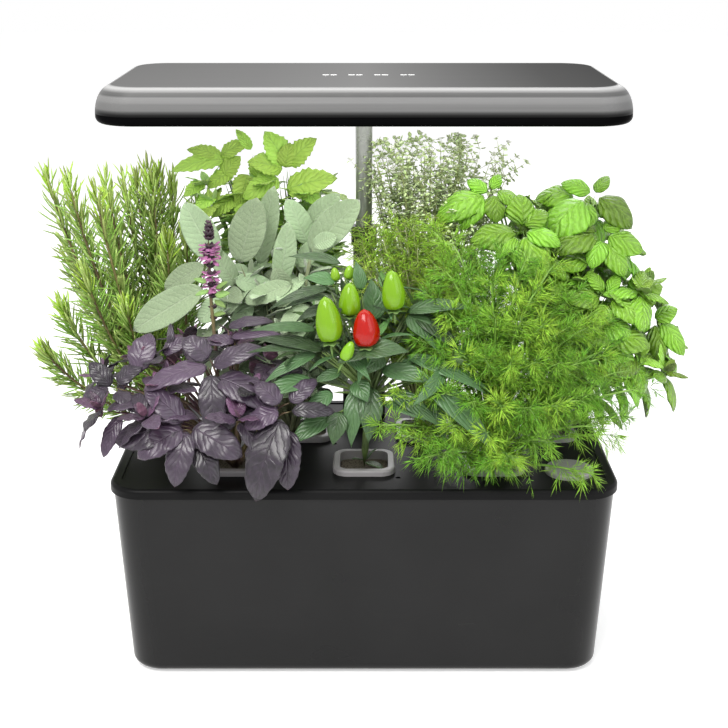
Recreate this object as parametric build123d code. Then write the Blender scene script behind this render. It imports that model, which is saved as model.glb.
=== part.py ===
from build123d import *
from math import cos, radians, sin, sqrt
import os

# Countertop hydroponic garden: a tapered water tank, a lift-off grow deck with seven
# planted baskets, and an LED lamp on a telescopic mast.
# Millimetres. Origin on the resting surface under the tank's centre; +X right, +Y to the back, +Z up.

# ---- Grow deck ----
DECK_W = 365.0
DECK_D = 194.0
DECK_CORNER = 25.0
DECK_TOP = 149.0
DECK_EDGE_ROUND = 3.0
RIM_BAND = 7.0
RIM_WIDTH = 8.0
FIELD_DROP = 0.8
DECK_PLATE = 2.6
DECK_WALL = 2.6
SKIRT_DEPTH = 8.0
SKIRT_WALL = 1.8
SKIRT_CLEARANCE = 0.5
NOTCH_R = 1.9
NOTCH_DEPTH = 1.2
RIB_HEIGHT = 6.0
RIB_WALL = 2.0

# ---- Tank ----
TANK_INSET = 2.0
TANK_FOOT_W = 346.0
TANK_FOOT_D = 184.0
TANK_CORNER = 24.0
TANK_WALL = 2.4
TANK_FLOOR = 3.0
TANK_BASE_ROUND = 6.0
FOOT_R = 8.0
FOOT_STAND = 2.0
FOOT_SINK = 1.2
FOOT_INSET = 32.0

# ---- Pods ----
POD_PITCH = 94.5
FRONT_ROW_Y = -46.5
BACK_ROW_Y = 21.5
COLLAR_W = 45.5
COLLAR_CORNER = 11.0
COLLAR_H = 4.2
COLLAR_EDGE_ROUND = 1.4
POD_HOLE_W = 39.4
BASKET_TOP_W = 38.6
BASKET_FOOT_W = 29.0
BASKET_DEPTH = 50.0
BASKET_WALL = 1.6
BASKET_CORNER = 8.0
SLOTS = 3
SLOT_W = 2.4
SLOT_PITCH = 6.4
SLOT_END = 7.0
SPONGE_GAP = 0.3
SPONGE_SINK = 2.4

# ---- Fill port, level float ----
FILL_X = 149.5
FILL_Y = -60.0
FILL_R = 14.0
FILL_NECK_WALL = 1.8
FILL_NECK_DEPTH = 14.0
CAP_R = 17.5
CAP_H = 3.4
CAP_PLUG = 3.6
CAP_CLEARANCE = 0.4
CAP_LIFT = 18.0
SEAL_R = 0.9
SEAL_CLEARANCE = 0.05
FLOAT_X = 156.5
FLOAT_Y = 75.0
GUIDE_R = 8.4
GUIDE_BORE_R = 6.8
GUIDE_FLANGE_R = 10.4
GUIDE_FLANGE_H = 1.6
GUIDE_DEPTH = 72.0
FLOAT_CLEARANCE = 0.5
FLOAT_H = 12.0
FLOAT_STEM_R = 1.8
FLOAT_LIFT = 30.0

# ---- Mast ----
MAST_Y = 66.0
MAST_R = 6.5
MAST_WALL = 1.2
SLEEVE_R = 8.5
SLEEVE_BORE_R = 6.8
SLEEVE_TOP = 300.0
MAST_FOOT_Z = 196.0
MAST_LAMP_DEPTH = 13.0
FIT = 0.08
LOOSE_FIT = 0.15
BUSH_R = 10.0
BUSH_SKIRT = 11.0
BUSH_LIP = 4.0
BUSH_EDGE_ROUND = 1.0
PLUG_H = 5.0
PLUG_SPIGOT = 10.0
SOCKET_W = 34.0
SOCKET_FRONT = 13.5
SOCKET_BACK = 22.0
SOCKET_H = 22.0
SOCKET_CORNER = 5.0
SOCKET_EDGE_ROUND = 2.0
SCREW_EDGE = 1.2
SOCKET_SPIGOT_R = 11.0
SOCKET_SPIGOT_DEPTH = 18.0
SOCKET_FLOOR = 3.0
JACK_W = 11.0
JACK_DEPTH = 12.0
JACK_COLLAR_R = 5.2
JACK_COLLAR_L = 2.5
JACK_BORE_R = 2.8
JACK_BORE_L = 9.0
JACK_Z = 11.0

# ---- Lamp ----
LAMP_W = 360.0
LAMP_D = 170.0
LAMP_Y = -5.0
LAMP_CORNER = 28.0
LAMP_TOP = 428.0
LAMP_H = 25.5
TRAY_H = 6.5
TRAY_ROUND = 4.5
TOP_INSET_X = 13.5
TOP_INSET_Y = 8.0
COVER_ANGLES = (0.0, 25.0, 45.0, 65.0, 85.0)
LAMP_WALL = 2.0
WINDOW_W = 330.0
WINDOW_D = 124.0
WINDOW_Y = -20.0
WINDOW_CORNER = 10.0
DIFFUSER_LAP = 4.0
DIFFUSER_T = 1.6
BOARD_T = 1.6
BOARD_GAP = 3.2
BOARD_POST_R = 2.0
BOARD_POST_INSET = 6.0
CHIP_W = 3.4
CHIP_T = 1.0
CHIP_COLUMNS = 14
CHIP_ROWS = 5
CHIP_PITCH_X = 22.5
CHIP_PITCH_Y = 22.0
BLOCK_R = 12.0
BLOCK_BACK = 8.3
TOUCH_W = 84.0
TOUCH_D = 18.0
TOUCH_CORNER = 2.0
TOUCH_T = 1.4
TOUCH_PITCH = 18.2
TOUCH_PAD_R = 5.0
TOUCH_PAD_H = 2.0
BOSS_R = 3.6
BOSS_INSET = 7.0
SCREW_R = 1.5
SCREW_HOLE_R = 1.6
SCREW_HEAD_R = 2.7
SCREW_HEAD_H = 1.6
SCREW_BITE = 7.0

# ---- Pump ----
PUMP_X = 112.0
PUMP_Y = 52.0
PUMP_W = 44.0
PUMP_D = 34.0
PUMP_H = 36.0
PUMP_CORNER = 6.0
SUCKER_R = 7.0
SUCKER_H = 4.0
GRILLE_T = 3.0
GRILLE_SLOTS = 5
GRILLE_SLOT_W = 2.2
GRILLE_PITCH = 5.6
RISER_R = 5.0
RISER_WALL = 1.2
RISER_GAP = 3.0

# ---- Plants ----
STEM_R = 3.0
GOLDEN_TURN = 137.5
LEAN_POWER = 1.5
ARCH = 0.6
SPRIG_SIDES = 5
SPRIG_SHARES = (0.0, 0.55, 0.85, 1.0)
SPRIG_SWELL = (1.0, 0.8, 0.2)
PLANT_GAP = 3.0
FRONT_ROW_END = -14.0
FOLIAGE_SIDE = 256.0
FOLIAGE_DEEP = 118.0

# ---- Heights worked out from the sizes above ----
TANK_TOP = DECK_TOP - RIM_BAND
FIELD_Z = DECK_TOP - FIELD_DROP
PLATE_UNDER = FIELD_Z - DECK_PLATE
TANK_TOP_W = DECK_W - 2 * TANK_INSET
TANK_TOP_D = DECK_D - 2 * TANK_INSET
LAMP_UNDER = LAMP_TOP - LAMP_H
PARTING_Z = LAMP_UNDER + TRAY_H
TRAY_FLOOR_Z = LAMP_UNDER + LAMP_WALL
POD_SPOTS = [(POD_PITCH * k, FRONT_ROW_Y) for k in (-1, 0, 1)]
POD_SPOTS += [(POD_PITCH * k, BACK_ROW_Y) for k in (-1.5, -0.5, 0.5, 1.5)]


def slab(w, d, r, z0, z1, x=0.0, y=0.0):
    """A rounded rectangle standing from z0 to z1."""
    return Pos(x, y, z0) * extrude(RectangleRounded(w, d, r), z1 - z0)


def taper(w0, d0, r0, z0, w1, d1, r1, z1, x=0.0, y=0.0):
    """A rounded rectangle that changes size evenly from z0 to z1."""
    low = Pos(x, y, z0) * RectangleRounded(w0, d0, r0)
    high = Pos(x, y, z1) * RectangleRounded(w1, d1, r1)
    return loft([low, high])


def rod(r, z0, z1, x=0.0, y=0.0):
    """An upright round bar from z0 to z1."""
    return Pos(x, y, (z0 + z1) / 2) * Cylinder(r, z1 - z0)


def tube(r, bore, z0, z1, x=0.0, y=0.0):
    """An upright round pipe from z0 to z1."""
    return rod(r, z0, z1, x, y) - rod(bore, z0 - 1, z1 + 1, x, y)


def save(shape, name):
    """Writes one sub-part to its own file."""
    export_step(shape, f"parts/{name}.step")


# ---- Tank ----
def tank_size(z, inset=0.0):
    """Width, depth and corner radius of the tank's outside at height z, less an inset on every side."""
    share = (z - FOOT_STAND) / (TANK_TOP - FOOT_STAND)
    w = TANK_FOOT_W + (TANK_TOP_W - TANK_FOOT_W) * share - 2 * inset
    d = TANK_FOOT_D + (TANK_TOP_D - TANK_FOOT_D) * share - 2 * inset
    return w, d, TANK_CORNER - inset


def tank_taper(z0, z1, inset=0.0):
    """A solid that follows the tank's slanted walls from z0 to z1."""
    return taper(*tank_size(z0, inset), z0, *tank_size(z1, inset), z1)


def foot_spots():
    """Centres of the four feet."""
    x = TANK_FOOT_W / 2 - FOOT_INSET
    y = TANK_FOOT_D / 2 - FOOT_INSET
    return [(x, y), (-x, y), (-x, -y), (x, -y)]


def make_tank():
    outer = tank_taper(FOOT_STAND, TANK_TOP)
    outer = fillet(outer.faces().sort_by(Axis.Z)[0].edges(), TANK_BASE_ROUND)
    shell = outer - tank_taper(FOOT_STAND + TANK_FLOOR, TANK_TOP, TANK_WALL)
    for x, y in foot_spots():
        shell -= rod(FOOT_R + LOOSE_FIT, FOOT_STAND - 1, FOOT_STAND + FOOT_SINK, x, y)
    return shell


def make_feet():
    feet = []
    for x, y in foot_spots():
        foot = rod(FOOT_R, 0, FOOT_STAND + FOOT_SINK, x, y)
        feet.append(chamfer(foot.faces().sort_by(Axis.Z)[0].edges(), FOOT_SINK / 2))
    return Compound(feet)


# ---- Grow deck ----
def make_deck():
    deck = slab(DECK_W, DECK_D, DECK_CORNER, TANK_TOP, DECK_TOP)
    deck = fillet(deck.faces().sort_by(Axis.Z)[-1].edges(), DECK_EDGE_ROUND)
    rim = 2 * RIM_WIDTH
    deck -= slab(DECK_W - rim, DECK_D - rim, DECK_CORNER - RIM_WIDTH, FIELD_Z, DECK_TOP + 1)
    skirt_inset = TANK_WALL + SKIRT_CLEARANCE
    skirt_low = TANK_TOP - SKIRT_DEPTH
    deck += tank_taper(skirt_low, TANK_TOP, skirt_inset)
    deck -= tank_taper(skirt_low, PLATE_UNDER, skirt_inset + SKIRT_WALL)
    for x, y in POD_SPOTS:
        deck += slab(POD_HOLE_W + 2 * RIB_WALL, POD_HOLE_W + 2 * RIB_WALL, BASKET_CORNER + RIB_WALL,
                     PLATE_UNDER - RIB_HEIGHT, PLATE_UNDER, x, y)
    neck_low = FIELD_Z - FILL_NECK_DEPTH
    deck += rod(FILL_R + FILL_NECK_WALL, neck_low, PLATE_UNDER, FILL_X, FILL_Y)
    for x, y in POD_SPOTS:
        deck -= slab(POD_HOLE_W, POD_HOLE_W, BASKET_CORNER, skirt_low - 1, DECK_TOP + 1, x, y)
        notch = COLLAR_W / 2 + NOTCH_R
        deck -= rod(NOTCH_R, FIELD_Z - NOTCH_DEPTH, DECK_TOP + 1, x + notch, y - notch)
    deck -= rod(FILL_R, neck_low - 1, DECK_TOP + 1, FILL_X, FILL_Y)
    deck -= rod(GUIDE_R + LOOSE_FIT, skirt_low - 1, DECK_TOP + 1, FLOAT_X, FLOAT_Y)
    deck -= rod(SOCKET_SPIGOT_R + LOOSE_FIT, skirt_low - 1, DECK_TOP + 1, 0, MAST_Y)
    for x, y in socket_screw_spots():
        deck -= rod(SCREW_HOLE_R, skirt_low - 1, DECK_TOP + 1, x, y)
    return deck


# ---- Pods ----
def basket_size(z, inset=0.0):
    """Side and corner radius of a basket's tapered body at height z, less an inset."""
    share = (z - (FIELD_Z - BASKET_DEPTH)) / BASKET_DEPTH
    side = BASKET_FOOT_W + (BASKET_TOP_W - BASKET_FOOT_W) * share - 2 * inset
    return side, side, BASKET_CORNER - inset


def basket_taper(z0, z1, inset):
    """A solid that follows a basket's slanted sides from z0 to z1."""
    return taper(*basket_size(z0, inset), z0, *basket_size(z1, inset), z1)


def make_basket():
    """One basket about the Z axis: a rounded collar over a tapered net cup."""
    low = FIELD_Z - BASKET_DEPTH
    collar = slab(COLLAR_W, COLLAR_W, COLLAR_CORNER, FIELD_Z, FIELD_Z + COLLAR_H)
    collar = fillet(collar.faces().sort_by(Axis.Z)[-1].edges(), COLLAR_EDGE_ROUND)
    basket = collar + basket_taper(low, FIELD_Z, 0.0)
    basket -= basket_taper(low + BASKET_WALL, FIELD_Z, BASKET_WALL)
    mouth = BASKET_TOP_W - 2 * BASKET_WALL
    basket -= slab(mouth, mouth, BASKET_CORNER - BASKET_WALL, FIELD_Z, FIELD_Z + COLLAR_H)
    slot_low = low + SLOT_END
    slot_high = PLATE_UNDER - RIB_HEIGHT
    across = Box(SLOT_W, COLLAR_W, slot_high - slot_low)
    for k in range(SLOTS):
        shift = (k - (SLOTS - 1) / 2) * SLOT_PITCH
        slot = Pos(shift, 0, (slot_low + slot_high) / 2) * across
        basket -= [slot, Rot(0, 0, 90) * slot]
    return basket


def make_sponge():
    """One grow sponge about the Z axis, which fills a basket to just under its mouth."""
    low = FIELD_Z - BASKET_DEPTH + BASKET_WALL
    return basket_taper(low, FIELD_Z - SPONGE_SINK, BASKET_WALL + SPONGE_GAP)


# ---- Fill cap and level float ----
def seal_ring(r):
    """A ring of thickness r around the cap's plug, centred where the seal sits."""
    return Pos(FILL_X, FILL_Y, FIELD_Z - CAP_PLUG / 2) * Torus(FILL_R - SEAL_R, r)


def make_cap():
    cap = rod(CAP_R, FIELD_Z, FIELD_Z + CAP_H, FILL_X, FILL_Y)
    cap = fillet(cap.faces().sort_by(Axis.Z)[-1].edges(), CAP_H / 2)
    cap += rod(FILL_R - CAP_CLEARANCE, FIELD_Z - CAP_PLUG, FIELD_Z, FILL_X, FILL_Y)
    return cap - seal_ring(SEAL_R)


def make_seal():
    return seal_ring(SEAL_R - SEAL_CLEARANCE)


def make_guide():
    low = FIELD_Z - GUIDE_DEPTH
    guide = rod(GUIDE_R, low, FIELD_Z, FLOAT_X, FLOAT_Y)
    guide += rod(GUIDE_FLANGE_R, FIELD_Z, FIELD_Z + GUIDE_FLANGE_H, FLOAT_X, FLOAT_Y)
    wall = GUIDE_R - GUIDE_BORE_R
    guide -= rod(GUIDE_BORE_R, low + wall, FIELD_Z + GUIDE_FLANGE_H + 1, FLOAT_X, FLOAT_Y)
    guide -= rod(GUIDE_BORE_R / 2, low - 1, low + wall + 1, FLOAT_X, FLOAT_Y)
    return guide


def make_float():
    bottom = FIELD_Z - GUIDE_DEPTH + GUIDE_R - GUIDE_BORE_R
    disc_r = GUIDE_BORE_R - FLOAT_CLEARANCE
    body = rod(disc_r, bottom, bottom + FLOAT_H, FLOAT_X, FLOAT_Y)
    body = fillet(body.edges().filter_by(GeomType.CIRCLE), FLOAT_H / 6)
    top = FIELD_Z - FLOAT_LIFT
    body += rod(FLOAT_STEM_R, bottom + FLOAT_H / 2, top, FLOAT_X, FLOAT_Y)
    return body + rod(disc_r, top - FLOAT_STEM_R, top, FLOAT_X, FLOAT_Y)


# ---- Mast ----
def socket_screw_spots():
    """Centres of the screws that hold the mast socket to the deck."""
    x = SOCKET_W / 2 - SCREW_HEAD_R - SCREW_EDGE
    front = MAST_Y - SOCKET_FRONT + SCREW_HEAD_R
    back = MAST_Y + SOCKET_BACK - SCREW_HEAD_R - SCREW_EDGE
    return [(x, front), (-x, front), (-x, back), (x, back)]


def make_socket():
    depth = SOCKET_FRONT + SOCKET_BACK
    middle = MAST_Y + (SOCKET_BACK - SOCKET_FRONT) / 2
    top = FIELD_Z + SOCKET_H
    socket = slab(SOCKET_W, depth, SOCKET_CORNER, FIELD_Z, top, 0, middle)
    socket = fillet(socket.faces().sort_by(Axis.Z)[-1].edges(), SOCKET_EDGE_ROUND)
    low = FIELD_Z - SOCKET_SPIGOT_DEPTH
    socket += rod(SOCKET_SPIGOT_R, low, FIELD_Z, 0, MAST_Y)
    socket -= rod(SLEEVE_R + LOOSE_FIT, low + SOCKET_FLOOR, top + 1, 0, MAST_Y)
    back = MAST_Y + SOCKET_BACK
    jack_z = FIELD_Z + JACK_Z
    pocket_w = JACK_W + 2 * LOOSE_FIT
    pocket_end = back - JACK_COLLAR_L
    pocket_start = back - JACK_DEPTH - LOOSE_FIT
    socket -= Pos(0, (pocket_start + pocket_end) / 2, jack_z) * Box(
        pocket_w, pocket_end - pocket_start, pocket_w)
    socket -= Pos(0, back, jack_z) * Rot(90, 0, 0) * Cylinder(
        JACK_COLLAR_R + LOOSE_FIT, 2 * JACK_COLLAR_L + 1)
    for x, y in socket_screw_spots():
        socket -= rod(SCREW_R, FIELD_Z - 1, FIELD_Z + SCREW_BITE, x, y)
    return socket


def make_socket_screws():
    screws = []
    for x, y in socket_screw_spots():
        shank = rod(SCREW_R - FIT, PLATE_UNDER, FIELD_Z + SCREW_BITE - 1, x, y)
        head = rod(SCREW_HEAD_R, PLATE_UNDER - SCREW_HEAD_H, PLATE_UNDER, x, y)
        screws.append(shank + head)
    return Compound(screws)


def make_jack():
    back = MAST_Y + SOCKET_BACK
    jack_z = FIELD_Z + JACK_Z
    body_end = back - JACK_COLLAR_L
    body_start = back - JACK_DEPTH
    body = Pos(0, (body_start + body_end) / 2, jack_z) * Box(JACK_W, body_end - body_start, JACK_W)
    collar = Pos(0, back - JACK_COLLAR_L / 2, jack_z) * Rot(90, 0, 0) * Cylinder(
        JACK_COLLAR_R, JACK_COLLAR_L)
    bore = Pos(0, back, jack_z) * Rot(90, 0, 0) * Cylinder(JACK_BORE_R, 2 * JACK_BORE_L)
    return body + collar - bore


def make_sleeve():
    low = FIELD_Z - SOCKET_SPIGOT_DEPTH + SOCKET_FLOOR
    return tube(SLEEVE_R, SLEEVE_BORE_R, low, SLEEVE_TOP, 0, MAST_Y)


def make_bush():
    skirt = tube(BUSH_R, SLEEVE_R + FIT, SLEEVE_TOP - BUSH_SKIRT, SLEEVE_TOP, 0, MAST_Y)
    lip = tube(BUSH_R, MAST_R + FIT, SLEEVE_TOP, SLEEVE_TOP + BUSH_LIP, 0, MAST_Y)
    bush = skirt + lip
    return fillet(bush.edges().filter_by(GeomType.CIRCLE).sort_by(Axis.Z)[-1], BUSH_EDGE_ROUND)


def make_mast():
    top = TRAY_FLOOR_Z + MAST_LAMP_DEPTH
    return tube(MAST_R, MAST_R - MAST_WALL, MAST_FOOT_Z, top, 0, MAST_Y)


def make_mast_plug():
    foot = rod(SLEEVE_BORE_R - FIT, MAST_FOOT_Z - PLUG_H, MAST_FOOT_Z, 0, MAST_Y)
    spigot_r = MAST_R - MAST_WALL - FIT
    return foot + rod(spigot_r, MAST_FOOT_Z, MAST_FOOT_Z + PLUG_SPIGOT, 0, MAST_Y)


# ---- Lamp ----
def lamp_screw_spots():
    """Centres of the screws that close the lamp housing."""
    x = LAMP_W / 2 - BOSS_INSET
    front = LAMP_Y - LAMP_D / 2 + LAMP_CORNER
    back = LAMP_Y + LAMP_D / 2 - LAMP_CORNER
    rear = (WINDOW_Y + WINDOW_D / 2 + LAMP_Y + LAMP_D / 2) / 2
    return [(x, front), (-x, front), (-x, back), (x, back), (LAMP_W / 4, rear), (-LAMP_W / 4, rear)]


def cover_skin(inset):
    """
    The cover's outside, or its inside when an inset is given.

    Its edge is a quarter ellipse: upright at the parting line, flat where it meets the top.
    """
    height = LAMP_TOP - inset - PARTING_Z
    rings = []
    for angle in COVER_ANGLES:
        rise = height * sin(radians(angle)) / sin(radians(COVER_ANGLES[-1]))
        draw = 1 - cos(radians(angle))
        w = LAMP_W - 2 * inset - 2 * TOP_INSET_X * draw
        d = LAMP_D - 2 * inset - 2 * TOP_INSET_Y * draw
        corner = LAMP_CORNER - inset - TOP_INSET_Y * draw
        rings.append(Pos(0, LAMP_Y, PARTING_Z + rise) * RectangleRounded(w, d, corner))
    return loft(rings)


def make_cover():
    cover = cover_skin(0.0) - cover_skin(LAMP_WALL)
    within = cover_skin(LAMP_WALL / 2)
    for x, y in lamp_screw_spots():
        cover += rod(BOSS_R, PARTING_Z, LAMP_TOP, x, y) & within
        cover -= rod(SCREW_R, PARTING_Z - 1, PARTING_Z + SCREW_BITE, x, y)
    return cover


def make_tray():
    tray = slab(LAMP_W, LAMP_D, LAMP_CORNER, LAMP_UNDER, PARTING_Z, 0, LAMP_Y)
    tray = fillet(tray.faces().sort_by(Axis.Z)[0].edges(), TRAY_ROUND)
    wall = 2 * LAMP_WALL
    tray -= slab(LAMP_W - wall, LAMP_D - wall, LAMP_CORNER - LAMP_WALL, TRAY_FLOOR_Z, PARTING_Z + 1,
                 0, LAMP_Y)
    tray -= slab(WINDOW_W, WINDOW_D, WINDOW_CORNER, LAMP_UNDER - 1, PARTING_Z, 0, WINDOW_Y)
    tray -= rod(MAST_R + LOOSE_FIT, LAMP_UNDER - 1, PARTING_Z, 0, MAST_Y)
    for x, y in lamp_screw_spots():
        boss = rod(BOSS_R, TRAY_FLOOR_Z - LAMP_WALL / 4, PARTING_Z, x, y)
        tray += boss & slab(LAMP_W - LAMP_WALL, LAMP_D - LAMP_WALL, LAMP_CORNER, LAMP_UNDER, PARTING_Z,
                            0, LAMP_Y)
        tray -= rod(SCREW_HOLE_R, LAMP_UNDER - 1, PARTING_Z + 1, x, y)
        tray -= rod(SCREW_HEAD_R + LOOSE_FIT, LAMP_UNDER - 1, LAMP_UNDER + SCREW_HEAD_H, x, y)
    return tray


def make_lamp_screws():
    screws = []
    for x, y in lamp_screw_spots():
        shank = rod(SCREW_R - FIT, LAMP_UNDER + SCREW_HEAD_H, PARTING_Z + SCREW_BITE - 1, x, y)
        screws.append(shank + rod(SCREW_HEAD_R, LAMP_UNDER, LAMP_UNDER + SCREW_HEAD_H, x, y))
    return Compound(screws)


def make_diffuser():
    w = WINDOW_W + 2 * DIFFUSER_LAP
    d = WINDOW_D + 2 * DIFFUSER_LAP
    pane = slab(w, d, WINDOW_CORNER, TRAY_FLOOR_Z, TRAY_FLOOR_Z + DIFFUSER_T, 0, WINDOW_Y)
    for x, y in lamp_screw_spots():
        pane -= rod(BOSS_R + LOOSE_FIT, LAMP_UNDER, PARTING_Z, x, y)
    return pane


def board_under():
    """Height of the LED board's underside."""
    return TRAY_FLOOR_Z + DIFFUSER_T + BOARD_GAP


def make_board():
    low = board_under()
    board = slab(WINDOW_W, WINDOW_D, WINDOW_CORNER, low, low + BOARD_T, 0, WINDOW_Y)
    for x in (-1, 1):
        for y in (-1, 1):
            px = x * (WINDOW_W / 2 - BOARD_POST_INSET)
            py = WINDOW_Y + y * (WINDOW_D / 2 - BOARD_POST_INSET)
            board += rod(BOARD_POST_R, TRAY_FLOOR_Z + DIFFUSER_T, low, px, py)
    return board


def make_chips():
    top = board_under()
    chips = []
    for i in range(CHIP_COLUMNS):
        for j in range(CHIP_ROWS):
            x = (i - (CHIP_COLUMNS - 1) / 2) * CHIP_PITCH_X
            y = WINDOW_Y + (j - (CHIP_ROWS - 1) / 2) * CHIP_PITCH_Y
            chips.append(Pos(x, y, top - CHIP_T / 2) * Box(CHIP_W, CHIP_W, CHIP_T))
    return Compound(chips)


def make_block():
    top = TRAY_FLOOR_Z + MAST_LAMP_DEPTH + LAMP_WALL
    block = rod(BLOCK_R, TRAY_FLOOR_Z, top, 0, MAST_Y)
    back_cut = Box(2 * BLOCK_R, BLOCK_R, 4 * MAST_LAMP_DEPTH)
    block -= Pos(0, MAST_Y + BLOCK_BACK + BLOCK_R / 2, TRAY_FLOOR_Z) * back_cut
    return block - rod(MAST_R + FIT, TRAY_FLOOR_Z - 1, TRAY_FLOOR_Z + MAST_LAMP_DEPTH, 0, MAST_Y)


def make_touch_board():
    pad_top = LAMP_TOP - LAMP_WALL
    board_top = pad_top - TOUCH_PAD_H
    board = slab(TOUCH_W, TOUCH_D, TOUCH_CORNER, board_top - TOUCH_T, board_top, 0, LAMP_Y)
    for k in (-1.5, -0.5, 0.5, 1.5):
        board += rod(TOUCH_PAD_R, board_top, pad_top, k * TOUCH_PITCH, LAMP_Y)
    return board


# ---- Pump ----
def make_pump():
    low = FOOT_STAND + TANK_FLOOR + SUCKER_H
    pump = slab(PUMP_W, PUMP_D, PUMP_CORNER, low, low + PUMP_H, PUMP_X, PUMP_Y)
    pump = fillet(pump.faces().sort_by(Axis.Z)[-1].edges(), PUMP_CORNER / 3)
    return pump


def make_face_of(points):
    """An upright face in the XZ plane through the given (x, z) points."""
    return make_face(Plane.XZ * Polyline(*points, close=True))


def make_suckers():
    low = FOOT_STAND + TANK_FLOOR
    spread = PUMP_W / 2 - SUCKER_R
    cups = []
    for x in (-spread, spread):
        for y in (-1, 1):
            profile = make_face_of(((0, 0), (SUCKER_R, 0), (SUCKER_R / 2, SUCKER_H / 2),
                                    (SUCKER_R / 2, SUCKER_H), (0, SUCKER_H)))
            cup = revolve(profile, Axis.Z)
            cups.append(Pos(PUMP_X + x, PUMP_Y + y * (PUMP_D / 2 - SUCKER_R), low) * cup)
    return Compound(cups)


def make_grille():
    low = FOOT_STAND + TANK_FLOOR + SUCKER_H
    front = PUMP_Y - PUMP_D / 2
    plate = Pos(PUMP_X, front - GRILLE_T / 2, low + PUMP_H / 2) * Box(
        PUMP_W - 2 * PUMP_CORNER, GRILLE_T, PUMP_H - PUMP_CORNER)
    for k in range(GRILLE_SLOTS):
        x = PUMP_X + (k - (GRILLE_SLOTS - 1) / 2) * GRILLE_PITCH
        plate -= Pos(x, front - GRILLE_T, low + PUMP_H / 2) * Box(
            GRILLE_SLOT_W, GRILLE_T + 1, PUMP_H - 3 * PUMP_CORNER)
    return plate


def make_riser():
    low = FOOT_STAND + TANK_FLOOR + SUCKER_H + PUMP_H
    return tube(RISER_R, RISER_R - RISER_WALL, low, PLATE_UNDER - RISER_GAP, PUMP_X, PUMP_Y)


# ---- Plants: each is a trunk, upright sprigs and hanging sprigs, all inside its own cell of the deck ----
def spindle(points, radii, across):
    """A five-sided sprig: rings centred on the points, in planes square to the direction across."""
    rings = [Plane(origin=p, z_dir=across) * RegularPolygon(r, SPRIG_SIDES) for p, r in zip(points, radii)]
    return loft(rings, ruled=True)


def upright(root, tip, thick):
    """A sprig that rises from the root and leans out more towards its tip."""
    points = []
    for share in SPRIG_SHARES:
        lean = share ** LEAN_POWER
        x = root.X + (tip.X - root.X) * lean
        y = root.Y + (tip.Y - root.Y) * lean
        points.append(Vector(x, y, root.Z + (tip.Z - root.Z) * share))
    radii = [STEM_R] + [thick * share for share in SPRIG_SWELL]
    return spindle(points, radii, Vector(0, 0, 1))


def hanging(root, tip, thick):
    """A sprig that runs outwards from the root, arches and sinks to its tip."""
    points = []
    for share in SPRIG_SHARES:
        arch = ARCH * (tip - root).length * share * (1 - share)
        points.append(root + (tip - root) * share + Vector(0, 0, arch))
    radii = [STEM_R] + [thick * share for share in SPRIG_SWELL]
    return spindle(points, radii, Vector(tip.X - root.X, tip.Y - root.Y, 0))


def plant(foot, cell, heart, reach, top, edge, sprigs, thick, hangs=()):
    """
    A trunk from the sponge to the heart, sprigs whose tips lie on a dome, and hanging sprigs.

    The dome spans the reach in x and y about the heart, and falls from top to edge.
    Each hanging sprig is given by its tip. What would leave the cell is cut off, apart from the trunk.
    """
    heart = Vector(*heart)
    root = Vector(foot[0], foot[1], FIELD_Z - SPONGE_SINK)
    trunk = spindle([root, heart + Vector(0, 0, STEM_R)], [STEM_R, STEM_R * 1.4], Vector(0, 0, 1))
    branches = [hanging(heart, Vector(*tip), thick) for tip in hangs]
    for i in range(sprigs):
        share = sqrt((i + 0.5) / sprigs)
        turn = radians(GOLDEN_TURN * i)
        tip = heart + Vector(reach[0] * share * cos(turn), reach[1] * share * sin(turn), 0)
        branches.append(upright(heart, Vector(tip.X, tip.Y, top - (top - edge) * share ** 2), thick))
    room = Pos(0, 0, root.Z) * extrude(make_face(Polyline(*cell, close=True)), LAMP_UNDER - root.Z)
    room -= rod(CAP_R + PLANT_GAP, root.Z - 1, FIELD_Z + CAP_H + CAP_LIFT + PLANT_GAP, FILL_X, FILL_Y)
    crown = branches[0]
    for branch in branches[1:]:
        crown += branch
    return trunk + (crown & room)


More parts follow.
